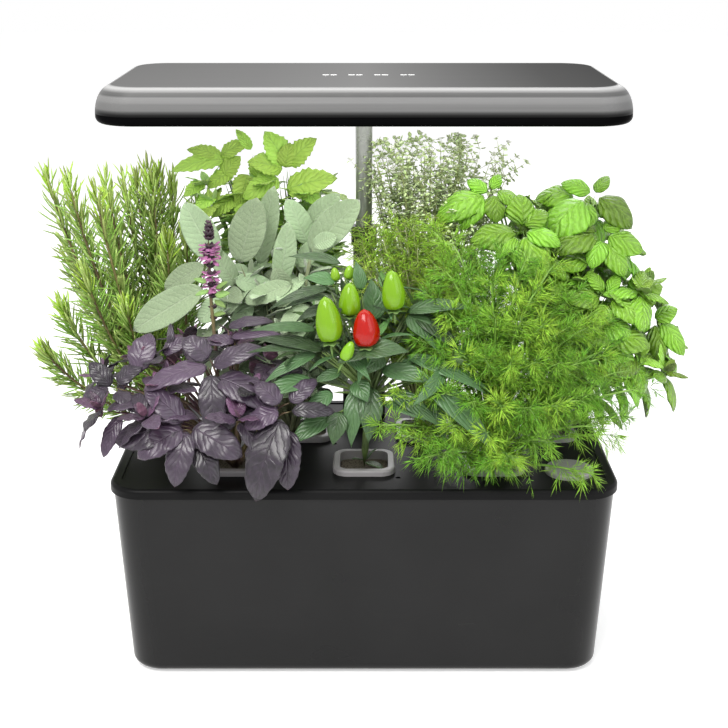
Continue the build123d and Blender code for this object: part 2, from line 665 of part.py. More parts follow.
def make_plants():
    names = ("purple_basil", "pepper", "dill", "rosemary", "sage", "oregano", "sweet_basil")
    foot = dict(zip(names, POD_SPOTS))
    side = FOLIAGE_SIDE
    deep = FOLIAGE_DEEP
    front = FRONT_ROW_END
    back = front + PLANT_GAP
    sage_left = -156
    sage_foot = (foot["sage"][0] - 3, foot["sage"][1] - 6)
    mint_foot = (foot["sage"][0], foot["sage"][1] + 11)
    cells = {
        "purple_basil": [(-205, -deep), (-41, -deep), (-73, front), (-205, front)],
        "pepper": [(-39, -deep), (87, -deep), (51, front), (-71, front)],
        "dill": [(89, -deep), (210, -deep), (210, front), (53, front)],
        "rosemary": [(-side, back), (sage_left - 3, back), (-118, 47), (-118, deep), (-side, deep)],
        "sage": [(sage_left, back), (-6, back), (-6, 44), (-110, 44)],
        "mint": [(-114, 46), (-15, 46), (-15, deep), (-114, deep)],
        "oregano": [(14, back), (72, back), (72, 46), (104, 60), (104, deep), (14, deep)],
        "sweet_basil": [(74, back), (side, back), (side, deep), (106, deep), (106, 59), (74, 45)],
    }
    return {
        "purple_basil": plant(
            foot["purple_basil"], cells["purple_basil"], (-108, -58, 176), (76, 40), 262, 214, 11, 15,
            hangs=[(-192, -92, 182), (-165, -deep - 1, 168), (-124, -deep - 1, 160), (-84, -deep - 1, 158),
                   (-52, -108, 190)]),
        "pepper": plant(
            foot["pepper"], cells["pepper"], (4, -56, 196), (58, 40), 302, 232, 10, 13,
            hangs=[(-62, -48, 244), (-46, -92, 220), (20, -110, 196), (60, -110, 186), (76, -108, 214)]),
        "dill": plant(
            foot["dill"], cells["dill"], (118, -58, 180), (78, 38), 318, 226, 12, 15,
            hangs=[(204, -62, 214), (196, -100, 188), (166, -deep - 1, 166), (124, -deep - 1, 162),
                   (100, -112, 178)]),
        "rosemary": plant(
            foot["rosemary"], cells["rosemary"], (-162, 36, 180), (80, 66), 350, 314, 17, 12,
            hangs=[(-side - 1, 24, 216), (-246, 62, 262), (-226, 4, 206), (-206, 106, 240), (-240, 98, 276),
                   (-166, 112, 262), (-196, 24, 286)]),
        "sage": plant(
            sage_foot, cells["sage"], (-62, 14, 226), (72, 24), 341, 290, 9, 12,
            hangs=[(-146, -2, 262), (-128, 12, 284), (-20, 2, 262)]),
        "mint": plant(
            mint_foot, cells["mint"], (-62, 72, 246), (44, 38), 376, 338, 11, 14,
            hangs=[(-108, 70, 306), (-110, 110, 296), (-60, deep + 1, 290), (-24, 110, 286), (-20, 66, 300),
                   (-40, 112, 240), (-92, 112, 250)]),
        "oregano": plant(
            foot["oregano"], cells["oregano"], (50, 46, 206), (46, 60), 371, 322, 11, 10,
            hangs=[(60, 110, 282), (24, 6, 276), (62, 2, 284)]),
        "sweet_basil": plant(
            foot["sweet_basil"], cells["sweet_basil"], (160, 42, 206), (76, 60), 345, 292, 14, 17,
            hangs=[(side + 1, 48, 244), (232, 12, 226), (214, 4, 208), (86, 18, 300), (180, deep + 1, 262),
                   (238, 92, 250), (222, 112, 226), (140, 112, 250), (206, 92, 284)]),
    }


def main():
    os.makedirs("parts", exist_ok=True)
    save(make_tank(), "tank")
    save(make_feet(), "rubber_feet")
    save(make_pump(), "pump_body")
    save(make_suckers(), "pump_suction_cups")
    save(make_grille(), "pump_grille")
    save(make_riser(), "pump_riser")
    save(make_deck(), "grow_deck")
    save(make_socket(), "mast_socket")
    save(make_socket_screws(), "socket_screws")
    save(make_jack(), "power_jack")
    save(make_sleeve(), "mast_sleeve")
    save(make_bush(), "mast_bush")
    save(make_guide(), "level_guide")
    save(make_float(), "level_float")
    save(make_cap(), "fill_cap")
    save(make_seal(), "cap_seal")
    save(make_mast(), "mast_tube")
    save(make_mast_plug(), "mast_plug")
    save(make_block(), "lamp_block")
    save(make_cover(), "lamp_cover")
    save(make_tray(), "lamp_tray")
    save(make_lamp_screws(), "lamp_screws")
    save(make_diffuser(), "lamp_diffuser")
    save(make_board(), "led_board")
    save(make_chips(), "led_chips")
    save(make_touch_board(), "touch_board")
    basket = make_basket()
    sponge = make_sponge()
    for number, (x, y) in enumerate(POD_SPOTS, start=1):
        save(Pos(x, y, 0) * basket, f"basket_{number}")
        save(Pos(x, y, 0) * sponge, f"sponge_{number}")
    for name, shape in make_plants().items():
        save(shape, name)


main()
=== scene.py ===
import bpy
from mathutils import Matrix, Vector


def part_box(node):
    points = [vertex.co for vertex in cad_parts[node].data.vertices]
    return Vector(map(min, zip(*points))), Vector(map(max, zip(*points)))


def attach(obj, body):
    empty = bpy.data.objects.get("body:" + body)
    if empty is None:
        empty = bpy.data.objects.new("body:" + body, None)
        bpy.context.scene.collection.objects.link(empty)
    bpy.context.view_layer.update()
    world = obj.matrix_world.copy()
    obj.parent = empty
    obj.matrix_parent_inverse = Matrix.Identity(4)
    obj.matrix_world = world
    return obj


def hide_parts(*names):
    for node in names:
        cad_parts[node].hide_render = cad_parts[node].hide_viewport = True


bl_info = {
    "name": "Countertop hydroponic garden",
    "version": (1, 0, 0),
    "blender": (4, 5, 0),
    "location": "View3D > Sidebar > Garden",
    "description": "Plants, finishes and stage for a countertop hydroponic garden",
    "category": "Add Mesh",
}

import bpy
import numpy as np
from mathutils import Vector

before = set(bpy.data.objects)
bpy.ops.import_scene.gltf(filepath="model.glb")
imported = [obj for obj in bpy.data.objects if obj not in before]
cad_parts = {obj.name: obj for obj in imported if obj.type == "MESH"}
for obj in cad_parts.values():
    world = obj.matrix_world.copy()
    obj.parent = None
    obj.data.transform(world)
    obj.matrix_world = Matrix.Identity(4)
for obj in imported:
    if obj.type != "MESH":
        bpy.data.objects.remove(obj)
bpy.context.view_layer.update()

MM = 0.001
FLATNESS = 0.6  # the power that moves a leaf's ring points towards its two edges
GOLDEN_TURN = np.radians(137.5)
RANDOM_TURN = 6.28  # radians, the span over which a random angle is drawn
UP = np.array((0.0, 0.0, 1.0))


# ---------------------------------------------------------------- sizes and colours a user may change


class GARDEN_PG_plants(bpy.types.PropertyGroup):
    """Leaf sizes and leaf colours of the eight plants."""

    seed: bpy.props.IntProperty(name="Seed", description="Seed of every plant's small variations", default=7)
    needle: bpy.props.FloatProperty(
        name="Rosemary needle", description="Length of a rosemary needle", default=0.0235, unit="LENGTH")
    sage_leaf: bpy.props.FloatProperty(
        name="Sage leaf", description="Length of a filling sage leaf", default=0.036, unit="LENGTH")
    mint_leaf: bpy.props.FloatProperty(
        name="Mint leaf", description="Length of a large mint leaf", default=0.031, unit="LENGTH")
    purple_leaf: bpy.props.FloatProperty(
        name="Purple basil leaf", description="Length of a large purple basil leaf", default=0.042,
        unit="LENGTH")
    pepper_leaf: bpy.props.FloatProperty(
        name="Pepper leaf", description="Length of a large pepper leaf", default=0.056, unit="LENGTH")
    dill_thread: bpy.props.FloatProperty(
        name="Dill thread", description="Length of one thread of a dill frond", default=0.0105, unit="LENGTH")
    oregano_leaf: bpy.props.FloatProperty(
        name="Oregano leaf", description="Length of a small oregano leaf", default=0.0052, unit="LENGTH")
    basil_leaf: bpy.props.FloatProperty(
        name="Sweet basil leaf", description="Length of a large sweet basil leaf", default=0.041,
        unit="LENGTH")
    rosemary_green: bpy.props.FloatVectorProperty(
        name="Rosemary green", description="Upper side of the needles", subtype="COLOR",
        default=(0.25, 0.43, 0.07))
    sage_green: bpy.props.FloatVectorProperty(
        name="Sage green", description="Felted upper side of the sage leaves", subtype="COLOR",
        default=(0.34, 0.45, 0.27))
    mint_green: bpy.props.FloatVectorProperty(
        name="Mint green", description="Upper side of the mint leaves", subtype="COLOR",
        default=(0.40, 0.64, 0.10))
    purple: bpy.props.FloatVectorProperty(
        name="Basil purple", description="Upper side of the purple basil leaves", subtype="COLOR",
        default=(0.042, 0.026, 0.048))
    pepper_green: bpy.props.FloatVectorProperty(
        name="Pepper green", description="Upper side of the pepper leaves", subtype="COLOR",
        default=(0.06, 0.125, 0.045))
    dill_green: bpy.props.FloatVectorProperty(
        name="Dill green", description="The dill's threads", subtype="COLOR", default=(0.17, 0.40, 0.03))
    oregano_green: bpy.props.FloatVectorProperty(
        name="Oregano green", description="The oregano's small leaves", subtype="COLOR",
        default=(0.60, 0.74, 0.36))
    basil_green: bpy.props.FloatVectorProperty(
        name="Sweet basil green", description="Upper side of the sweet basil leaves", subtype="COLOR",
        default=(0.27, 0.55, 0.05))


class GARDEN_PG_finishes(bpy.types.PropertyGroup):
    """Colours of the housing, the lamp and the baskets."""

    black: bpy.props.FloatVectorProperty(
        name="Housing black", description="Tank and deck plastic", subtype="COLOR",
        default=(0.006, 0.006, 0.0062))
    lamp_tint: bpy.props.FloatVectorProperty(
        name="Lamp tint", description="Tint of the lamp cover's grey paint", subtype="COLOR",
        default=(1.0, 1.0, 1.0))
    collar_grey: bpy.props.FloatVectorProperty(
        name="Collar grey", description="Baskets and fill cap", subtype="COLOR", default=(0.34, 0.325, 0.335))
    glow: bpy.props.FloatProperty(name="Glow", description="Brightness of the lit diffuser", default=1.6)
    icon_size: bpy.props.FloatProperty(
        name="Touch icon", description="Width of one touch icon", default=0.0100, unit="LENGTH")


class GARDEN_PG_stage(bpy.types.PropertyGroup):
    """Camera and light."""

    camera_back: bpy.props.FloatProperty(
        name="Camera distance", description="How far in front of the tank's centre the camera stands",
        default=0.999, unit="LENGTH")
    camera_height: bpy.props.FloatProperty(
        name="Camera height", description="Height of the camera above the table", default=0.533,
        unit="LENGTH")
    camera_pitch: bpy.props.FloatProperty(
        name="Camera pitch", description="Angle by which the camera looks down", default=np.radians(17.84),
        subtype="ANGLE")
    lens: bpy.props.FloatProperty(
        name="Lens", description="Focal length on a 36 mm sensor, in millimetres", default=68.6)
    sky: bpy.props.FloatProperty(
        name="Sky", description="Strength of the soft surrounding light", default=0.62)
    key: bpy.props.FloatProperty(
        name="Key", description="Power of the large soft lamp, in watts", default=26.0)


# ---------------------------------------------------------------- meshes from whole arrays


def unit(v):
    """Each vector divided by its length."""
    return v / np.maximum(np.linalg.norm(v, axis=-1, keepdims=True), 1e-12)


def mm(points):
    """Points written in millimetres, as an array in metres."""
    return np.array(points, float) * MM


def full_turn(count):
    """Angles that part a full turn into equal steps: 2 pi j / count."""
    return 2 * np.pi * np.arange(count) / count


def spokes(a, b, q):
    """Unit vectors cos q A + sin q B, one for each angle q, round the axis that A and B are square to."""
    return np.cos(q)[:, None] * a[..., None, :] + np.sin(q)[:, None] * b[..., None, :]


def leaf_values(shape, shade, side=1.0, age=0.0):
    """The leaf attribute of every ring point: the body's random shade, the side of the leaf, and the age."""
    values = np.zeros(shape)
    values[..., 0] = shade[:, None, None]
    values[..., 1] = side
    values[..., 2] = age
    return values


def ringed_faces(rings, around):
    """
    Faces of one closed body: a start pole, rings of points, an end pole.

    Vertex 0 is the start pole, ring s and place j is 1 + s * around + j, and the end pole is last.
    Returns the corner list and the corner count of each face, pointing outwards.
    """
    j = np.arange(around)
    k = (j + 1) % around
    end = 1 + rings * around
    s = np.arange(rings - 1)[:, None] * around + 1
    quads = np.stack((s + j, s + k, s + around + k, s + around + j), -1).reshape(-1)
    start_fan = np.stack((np.zeros_like(j), 1 + k, 1 + j), -1).reshape(-1)
    last = 1 + (rings - 1) * around
    end_fan = np.stack((last + j, last + k, np.full_like(j, end)), -1).reshape(-1)
    corners = np.concatenate((start_fan, quads, end_fan))
    counts = np.concatenate((np.full(around, 3), np.full((rings - 1) * around, 4), np.full(around, 3)))
    return corners, counts


class Bodies:
    """Closed ringed bodies gathered into one mesh, with a surface coordinate and a leaf attribute."""

    def __init__(self):
        self.points, self.corners, self.counts, self.uv, self.leaf = [], [], [], [], []
        self.total = 0

    def add(self, start, rings, end, along, across, leaf):
        """
        Adds n bodies at once: start and end are (n, 3), rings is (n, s, m, 3), and along is (s,).

        across is (s, m) or (m,). leaf is (n, s, m, 3): a random shade, the side (+1 upper, -1 lower) and the
        age of each point.
        """
        n, s, m, _ = rings.shape
        size = s * m + 2
        points = np.concatenate((start[:, None], rings.reshape(n, s * m, 3), end[:, None]), 1)
        corners, counts = ringed_faces(s, m)
        offset = self.total + np.arange(n)[:, None] * size
        self.corners.append((corners[None] + offset).reshape(-1))
        self.counts.append(np.tile(counts, n))
        self.points.append(points.reshape(-1, 3))
        u = np.broadcast_to(np.asarray(along)[:, None], (s, m))
        v = np.broadcast_to(np.asarray(across), (s, m))
        uv = np.stack((u, v), -1).reshape(-1, 2)
        uv = np.concatenate(([[0.0, 0.5]], uv, [[1.0, 0.5]]))
        self.uv.append(np.tile(uv, (n, 1)))
        flat = leaf.reshape(n, s * m, 3)
        self.leaf.append(np.concatenate((flat[:, :1], flat, flat[:, -1:]), 1).reshape(-1, 3))
        self.total += n * size

    def mesh(self, name, smooth):
        """One Blender mesh of every body added so far."""
        points = np.concatenate(self.points).astype(np.float32)
        corners = np.concatenate(self.corners).astype(np.int32)
        counts = np.concatenate(self.counts).astype(np.int32)
        mesh = bpy.data.meshes.new(name)
        mesh.vertices.add(len(points))
        mesh.vertices.foreach_set("co", points.ravel())
        mesh.loops.add(len(corners))
        mesh.loops.foreach_set("vertex_index", corners)
        mesh.polygons.add(len(counts))
        starts = np.concatenate(([0], np.cumsum(counts)[:-1])).astype(np.int32)
        mesh.polygons.foreach_set("loop_start", starts)
        mesh.polygons.foreach_set("use_smooth", np.full(len(counts), smooth))
        mesh.update(calc_edges=True)
        layer = mesh.uv_layers.new(name="UVMap")
        layer.data.foreach_set("uv", np.concatenate(self.uv)[corners].astype(np.float32).ravel())
        leaf = mesh.attributes.new("leaf", "FLOAT_VECTOR", "POINT")
        leaf.data.foreach_set("vector", np.concatenate(self.leaf).astype(np.float32).ravel())
        mesh.validate()
        return mesh


def bezier(a, b, c, share):
    """Quadratic curve (1-t)^2 a + 2t(1-t) b + t^2 c and its direction; ends are (n, 3), share is (k,)."""
    t = np.asarray(share)[None, :, None]
    a, b, c = a[:, None], b[:, None], c[:, None]
    point = (1 - t) ** 2 * a + 2 * t * (1 - t) * b + t ** 2 * c
    return point, unit((1 - t) * (b - a) + t * (c - b))


def side_frame(direction):
    """Two unit vectors square to each direction: cross products with the axis it leans on least."""
    away = np.eye(3)[np.argmin(np.abs(direction), axis=-1)]
    a = unit(np.cross(away, direction))
    return a, np.cross(direction, a)


def add_tubes(bodies, points, radius, around=6, seed=0):
    """
    Round stems along (n, k, 3) points: point + r (cos q A + sin q B), with A, B square to the stem there.

    radius is (n, k) or (k,); the first and last points become the poles.
    """
    n, k, _ = points.shape
    radius = np.broadcast_to(radius, (n, k))[:, 1:-1]
    tangent = unit(np.gradient(points, axis=1))
    a, _ = side_frame(unit(points[:, -1] - points[:, 0]))
    a = unit(a[:, None] - (a[:, None] * tangent).sum(-1, keepdims=True) * tangent)
    b = np.cross(tangent, a)
    ring = spokes(a[:, 1:-1], b[:, 1:-1], full_turn(around))
    rings = points[:, 1:-1, None] + radius[..., None, None] * ring
    leaf = leaf_values(rings.shape, np.random.default_rng(seed).random(n))
    along, across = np.linspace(0, 1, k)[1:-1], np.arange(around) / around
    bodies.add(points[:, 0], rings, points[:, -1], along, across, leaf)


def add_leaves(bodies, at, heading, face, length, width, droop, form, rng, stations, around=8, age=0.0):
    """
    Leaves as thin closed bodies whose midrib is an arc. width is half a leaf's greatest width.

    At share u the midrib is at + L (sin(ku)/k heading - (1 - cos(ku))/k face), with k the droop.
    The ring is midrib + w(u) v side + lift normal, with q once round, v = cos q to the power FLATNESS, and
    lift = thickness sin q + w(u) (fold |v| - cup v^2 + wave sin(ripples u) v^2).
    form holds the outline w(u) as shape, and fold, cup, wave, ripples, teeth and thickness.
    """
    n = len(at)
    u = np.linspace(0, 1, stations + 2)[1:-1]
    q = full_turn(around)
    v = np.sign(np.cos(q)) * np.abs(np.cos(q)) ** FLATNESS
    heading = unit(heading)
    face = unit(face - (face * heading).sum(-1, keepdims=True) * heading)
    side = np.cross(face, heading)
    straight = 1e-3
    k = np.broadcast_to(np.where(np.abs(droop) < straight, straight, droop), (n,))[:, None]
    ku = k * u
    size = np.broadcast_to(length, (n,))[:, None]
    forward = (size * np.sin(ku) / k)[..., None] * heading[:, None]
    sink = (size * (1 - np.cos(ku)) / k)[..., None] * face[:, None]
    middle = at[:, None] + forward - sink
    normal = np.cos(ku)[..., None] * face[:, None] + np.sin(ku)[..., None] * heading[:, None]
    teeth = 1 + form.get("teeth", 0.0) * np.where(np.arange(stations) % 2, 1, -1)
    w = np.broadcast_to(width, (n,))[:, None] * form["shape"](u) * teeth
    phase = rng.random((n, 1)) * 2 * np.pi
    ripple = form.get("wave", 0.0) * np.sin(form.get("ripples", 9.0) * u + phase)
    lift = form.get("fold", 0.0) * np.abs(v) + (ripple[..., None] - form.get("cup", 0.0)) * v ** 2
    lift = w[..., None] * lift + form["thickness"] * np.sin(q)
    rings = middle[:, :, None] + (w[..., None] * v)[..., None] * side[:, None, None]
    rings = rings + lift[..., None] * normal[:, :, None]
    end_k = k[:, 0]
    tip = at + (size[:, 0] * np.sin(end_k) / end_k)[:, None] * heading
    tip = tip - (size[:, 0] * (1 - np.cos(end_k)) / end_k)[:, None] * face
    leaf = leaf_values(rings.shape, rng.random(n), np.sin(q), np.broadcast_to(age, (n,))[:, None, None])
    bodies.add(at, rings, tip, u, 0.5 + 0.5 * v, leaf)


def oval(widest, blunt=0.75):
    """Outline of a leaf: u^blunt (1-u)^sharp, scaled to 1 at its widest place."""
    sharp = blunt * (1 - widest) / widest
    top = widest ** blunt * (1 - widest) ** sharp
    return lambda u: u ** blunt * (1 - u) ** sharp / top


def around_axis(axis, turn, spread):
    """
    Heading and upper side of a leaf that leaves an axis at the angle spread, at the angle turn about it.

    With out = cos turn A + sin turn B, the heading is cos spread axis + sin spread out.
    """
    a, b = side_frame(axis)
    out = np.cos(turn)[:, None] * a + np.sin(turn)[:, None] * b
    spread = np.broadcast_to(spread, turn.shape)[:, None]
    heading = np.cos(spread) * axis + np.sin(spread) * out
    face = np.sin(spread) * axis - np.cos(spread) * out
    return heading, face


def rosettes(bodies, centres, axes, leaf_size, pairs, form, rng, slim, droop, stations=9):
    """
    Whorls of leaves in crossed pairs about each axis; slim is a leaf's width as a share of its length.

    The oldest pair is longest and opens widest, at about 96 degrees from the axis. The youngest is shorter
    by the share shrink and closes to about 26 degrees. Each next pair turns by a right angle.
    """
    open_angle, closing, shrink = 96, 70, 0.62
    n = len(centres)
    pair = np.tile(np.repeat(np.arange(pairs), 2), n)
    half = np.tile(np.tile((0, 1), pairs), n)
    which = np.repeat(np.arange(n), pairs * 2)
    young = pair / (pairs - 1)
    start = rng.random(n) * 2 * np.pi
    turn = start[which] + pair * np.pi / 2 + half * np.pi + rng.normal(0, 0.22, len(which))
    spread = np.radians(open_angle - closing * young ** 0.8) + rng.normal(0, 0.13, len(which))
    length = leaf_size * (1.0 - shrink * young) * rng.uniform(0.86, 1.1, len(which))
    axis = unit(axes)[which]
    heading, face = around_axis(axis, turn, spread)
    at = centres[which] + axis * (0.10 * young * leaf_size)[:, None]
    at = at + heading * (0.06 * length)[:, None]
    bend = droop * (1.1 - 0.9 * young) + rng.normal(0, 0.12, len(which))
    add_leaves(bodies, at, heading, face, length, length * slim * 0.5, bend, form, rng, stations, age=young)


def stems_to(bodies, foot, ends, radius, rng, rise, leaning, steps=9):
    """
    Stems from one foot to many ends along quadratic curves, tapered to half their radius.

    The middle control point lies at the share rise of the height, and at the share leaning of the way out
    from the foot to the end. Each stem leaves the foot a little to one side of it.
    """
    scatter = rng.normal(0, 0.0018, (len(ends), 2))
    foot = np.broadcast_to(foot, ends.shape) + np.concatenate((scatter, np.zeros((len(ends), 1))), 1)
    middle = foot + (ends - foot) * np.array((leaning, leaning, rise))
    points, _ = bezier(foot, middle, ends, np.linspace(0, 1, steps))
    add_tubes(bodies, points, radius * np.linspace(1.0, 0.5, steps), seed=int(rng.integers(1e6)))
    return foot, middle, ends


def make_piece(bodies, name, material, body, replaces=(), smooth=True):
    """A mesh object from gathered bodies, riding on a CAD body."""
    piece = bpy.data.objects.new(name, bodies.mesh(name, smooth))
    bpy.context.scene.collection.objects.link(piece)
    piece.data.materials.append(material)
    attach(piece, body)
    if replaces:
        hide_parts(*replaces)


def pod_foot(number):
    """The middle of a pod's sponge, at its top."""
    low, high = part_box(f"sponge_{number}")
    return np.array(((low.x + high.x) / 2, (low.y + high.y) / 2, high.z))


# ---------------------------------------------------------------- node groups and materials


def feed(tree, made, inputs):
    """Fills a node's inputs: a socket is linked, and any other value is written in."""
    for key, value in inputs.items():
        if isinstance(value, bpy.types.NodeSocket):
            tree.links.new(value, made.inputs[key])
        else:
            made.inputs[key].default_value = value


def node(tree, kind, inputs=None, **settings):
    """A shader node with its settings and its inputs."""
    made = tree.nodes.new("ShaderNode" + kind)
    for key, value in settings.items():
        setattr(made, key, value)
    feed(tree, made, inputs or {})
    return made


def maths(tree, operation, a, b=0.0, c=0.0, clamp=False):
    """Output of one Math node."""
    return node(tree, "Math", {0: a, 1: b, 2: c}, operation=operation, use_clamp=clamp).outputs[0]


def blend_colour(tree, share, a, b, mode="MIX"):
    """Output of one colour Mix node."""
    made = node(tree, "Mix", {0: share, 6: a, 7: b}, data_type="RGBA", blend_type=mode, clamp_factor=True)
    return made.outputs[2]


def ramp_between(tree, value, low, high):
    """0 at low, 1 at high, smooth between."""
    made = node(tree, "MapRange", {0: value, 1: low, 2: high}, interpolation_type="SMOOTHSTEP")
    return made.outputs[0]


def bumped(tree, height, strength, distance):
    """The normal of a surface bumped by a height, over a distance in metres."""
    return node(tree, "Bump", {"Height": height, "Strength": strength, "Distance": distance}).outputs[0]


def new_group(name, inputs, outputs):
    """
    An empty node group, and the sockets of its input node and of its output node.

    inputs and outputs give each label its default: a number makes a value socket, a tuple a colour socket.
    """
    tree = bpy.data.node_groups.new(name, "ShaderNodeTree")
    for way, sockets in (("INPUT", inputs), ("OUTPUT", outputs)):
        for label, default in sockets.items():
            kind = "NodeSocketColor" if isinstance(default, tuple) else "NodeSocketFloat"
            made = tree.interface.new_socket(label, in_out=way, socket_type=kind)
            made.default_value = default
    return tree, tree.nodes.new("NodeGroupInput").outputs, tree.nodes.new("NodeGroupOutput").inputs


def use_group(tree, name, inputs=None):
    """The outputs of a node that shows a shared group."""
    made = tree.nodes.new("ShaderNodeGroup")
    made.node_tree = bpy.data.node_groups[name]
    feed(tree, made, inputs or {})
    return made.outputs


def rgba(colour):
    """A colour with full alpha, as a socket takes it."""
    return (*colour, 1.0)


def make_vein_group():
    """
    Leaf veins from the leaf's own coordinates: a midrib at the middle, and side ribs that slant to the edge.

    The ribs lie where along * Ribs - off * Slant is a whole number, and noise lets them wander a little.
    """
    tree, given, put = new_group("Leaf veins", {"Ribs": 7.0, "Slant": 2.4, "Midrib": 0.09},
                                 {"Vein": 0.0, "Quilt": 0.0})
    place = node(tree, "SeparateXYZ", {0: node(tree, "UVMap", uv_map="UVMap").outputs[0]}).outputs
    off = maths(tree, "MULTIPLY", maths(tree, "ABSOLUTE", maths(tree, "SUBTRACT", place[1], 0.5)), 2.0)
    rib = ramp_between(tree, off, given["Midrib"], 0.0)
    wander = node(tree, "TexNoise", {"Vector": node(tree, "TexCoord").outputs["Object"], "Scale": 110.0,
                                     "Detail": 2.0}).outputs[0]
    straight = maths(tree, "SUBTRACT", maths(tree, "MULTIPLY", place[0], given["Ribs"]),
                     maths(tree, "MULTIPLY", off, given["Slant"]))
    phase = maths(tree, "MULTIPLY_ADD", wander, 1.4, straight)
    saw = maths(tree, "PINGPONG", phase, 0.5)
    fine = ramp_between(tree, saw, 0.10, 0.0)
    tree.links.new(maths(tree, "MAXIMUM", rib, maths(tree, "MULTIPLY", fine, 0.55)), put["Vein"])
    tree.links.new(ramp_between(tree, saw, 0.0, 0.45), put["Quilt"])


def make_tint_group():
    """Leaf colour: paler underside, lighter young growth, a random shade for each leaf, and soft mottling."""
    tree, given, put = new_group(
        "Leaf tint",
        {"Upper": (0.1, 0.2, 0.05, 1), "Under": (0.2, 0.3, 0.1, 1), "Young": (0.2, 0.4, 0.05, 1),
         "Vein colour": (0.3, 0.4, 0.1, 1), "Vein": 0.0, "Variation": 0.3, "Mottle size": 300.0},
        {"Color": (0, 0, 0, 1)})
    leaf = node(tree, "Attribute", attribute_name="leaf")
    parts = node(tree, "SeparateXYZ", {0: leaf.outputs["Vector"]}).outputs
    below = ramp_between(tree, parts[1], 0.1, -0.3)
    age = blend_colour(tree, ramp_between(tree, parts[2], 0.25, 1.0), given["Upper"], given["Young"])
    side = blend_colour(tree, below, age, given["Under"])
    veined = blend_colour(tree, given["Vein"], side, given["Vein colour"])
    place = node(tree, "TexCoord").outputs["Object"]
    cloud = node(tree, "TexNoise", {"Vector": place, "Scale": given["Mottle size"], "Detail": 3.0}).outputs[0]
    shade = maths(tree, "ADD", maths(tree, "MULTIPLY", maths(tree, "SUBTRACT", parts[0], 0.5), 1.5),
                  maths(tree, "MULTIPLY", maths(tree, "SUBTRACT", cloud, 0.5), 1.2))
    value = maths(tree, "MULTIPLY_ADD", shade, given["Variation"], 1.0)
    hue = maths(tree, "MULTIPLY_ADD", maths(tree, "SUBTRACT", parts[0], 0.5), 0.022, 0.5)
    out = node(tree, "HueSaturation", {"Hue": hue, "Value": value, "Color": veined}).outputs[0]
    tree.links.new(out, put["Color"])


def make_grain_group():
    """Moulded plastic: a fine grain and faint handling marks, in object coordinates."""
    tree, given, put = new_group("Moulded grain", {"Grain size": 1400.0, "Marks": 0.5},
                                 {"Height": 0.0, "Wear": 0.0})
    place = node(tree, "TexCoord").outputs["Object"]
    grain = node(tree, "TexNoise", {"Vector": place, "Scale": given["Grain size"], "Detail": 2.0}).outputs[0]
    smear = node(tree, "TexNoise", {"Vector": place, "Scale": 14.0, "Detail": 2.0}).outputs[0]
    stretched = node(tree, "Mapping", {"Vector": place, "Scale": (22.0, 260.0, 190.0)}).outputs[0]
    streak = node(tree, "TexNoise", {"Vector": stretched, "Scale": 1.0, "Detail": 3.0}).outputs[0]
    marks = maths(tree, "MULTIPLY", ramp_between(tree, streak, 0.56, 0.78), given["Marks"])
    tree.links.new(grain, put["Height"])
    wear = maths(tree, "ADD", maths(tree, "MULTIPLY", ramp_between(tree, smear, 0.2, 0.85), 0.7),
                 maths(tree, "MULTIPLY", marks, 0.3), clamp=True)
    tree.links.new(wear, put["Wear"])


def make_fibre_group():
    """Stem skin: long fibres down the stem and soft blotches."""
    tree, given, put = new_group("Stem fibres", {"Scale": 1.0}, {"Height": 0.0, "Blotch": 0.0})
    place = node(tree, "TexCoord").outputs["Object"]
    long = node(tree, "Mapping", {"Vector": place, "Scale": (900.0, 900.0, 60.0)}).outputs[0]
    fibre = node(tree, "TexNoise", {"Vector": long, "Scale": given["Scale"], "Detail": 2.0}).outputs[0]
    blotch = node(tree, "TexNoise", {"Vector": place, "Scale": 45.0, "Detail": 4.0}).outputs[0]
    tree.links.new(fibre, put["Height"])
    tree.links.new(blotch, put["Blotch"])


def make_groups():
    """The shared node groups, made once."""
    if "Leaf veins" not in bpy.data.node_groups:
        make_vein_group()
        make_tint_group()
        make_grain_group()
        make_fibre_group()


def new_material(name):
    """An empty node material with its Principled shader."""
    make_groups()
    material = bpy.data.materials.new(name)
    material.use_nodes = True
    return material, material.node_tree, material.node_tree.nodes["Principled BSDF"]


def leaf_finish(name, upper, ribs, variation, under=None, young=None, vein=None, slant=2.4, midrib=0.09,
                roughness=0.45, quilt=0.35, vein_share=0.7, mottle=260.0, sheen=0.0, depth=0.0007,
                specular=0.4):
    """
    Leaf material from the shared groups; ribs of 0 makes a plain leaf such as a needle.

    The relief is quilt times the swelling between the ribs, less the veins, over depth in metres.
    """
    material, tree, shader = new_material(name)
    under = under or tuple(0.35 * c + 0.65 * max(upper) * 0.8 for c in upper)
    young = young or tuple(min(1.0, 1.35 * c) for c in upper)
    vein = vein or tuple(0.5 * c + 0.5 * max(upper) for c in upper)
    tint = {"Upper": rgba(upper), "Under": rgba(under), "Young": rgba(young), "Vein colour": rgba(vein),
            "Variation": variation, "Mottle size": mottle}
    if ribs:
        veins = use_group(tree, "Leaf veins", {"Ribs": ribs, "Slant": slant, "Midrib": midrib})
        tint["Vein"] = maths(tree, "MULTIPLY", veins["Vein"], vein_share)
        height = maths(tree, "SUBTRACT", maths(tree, "MULTIPLY", veins["Quilt"], quilt), veins["Vein"])
        feed(tree, shader, {"Normal": bumped(tree, height, 0.6, depth)})
        roughness = maths(tree, "MULTIPLY_ADD", veins["Vein"], 0.18, roughness)
    feed(tree, shader, {"Base Color": use_group(tree, "Leaf tint", tint)["Color"], "Roughness": roughness,
                        "Specular IOR Level": specular, "Sheen Weight": sheen, "Sheen Roughness": 0.5})
    return material


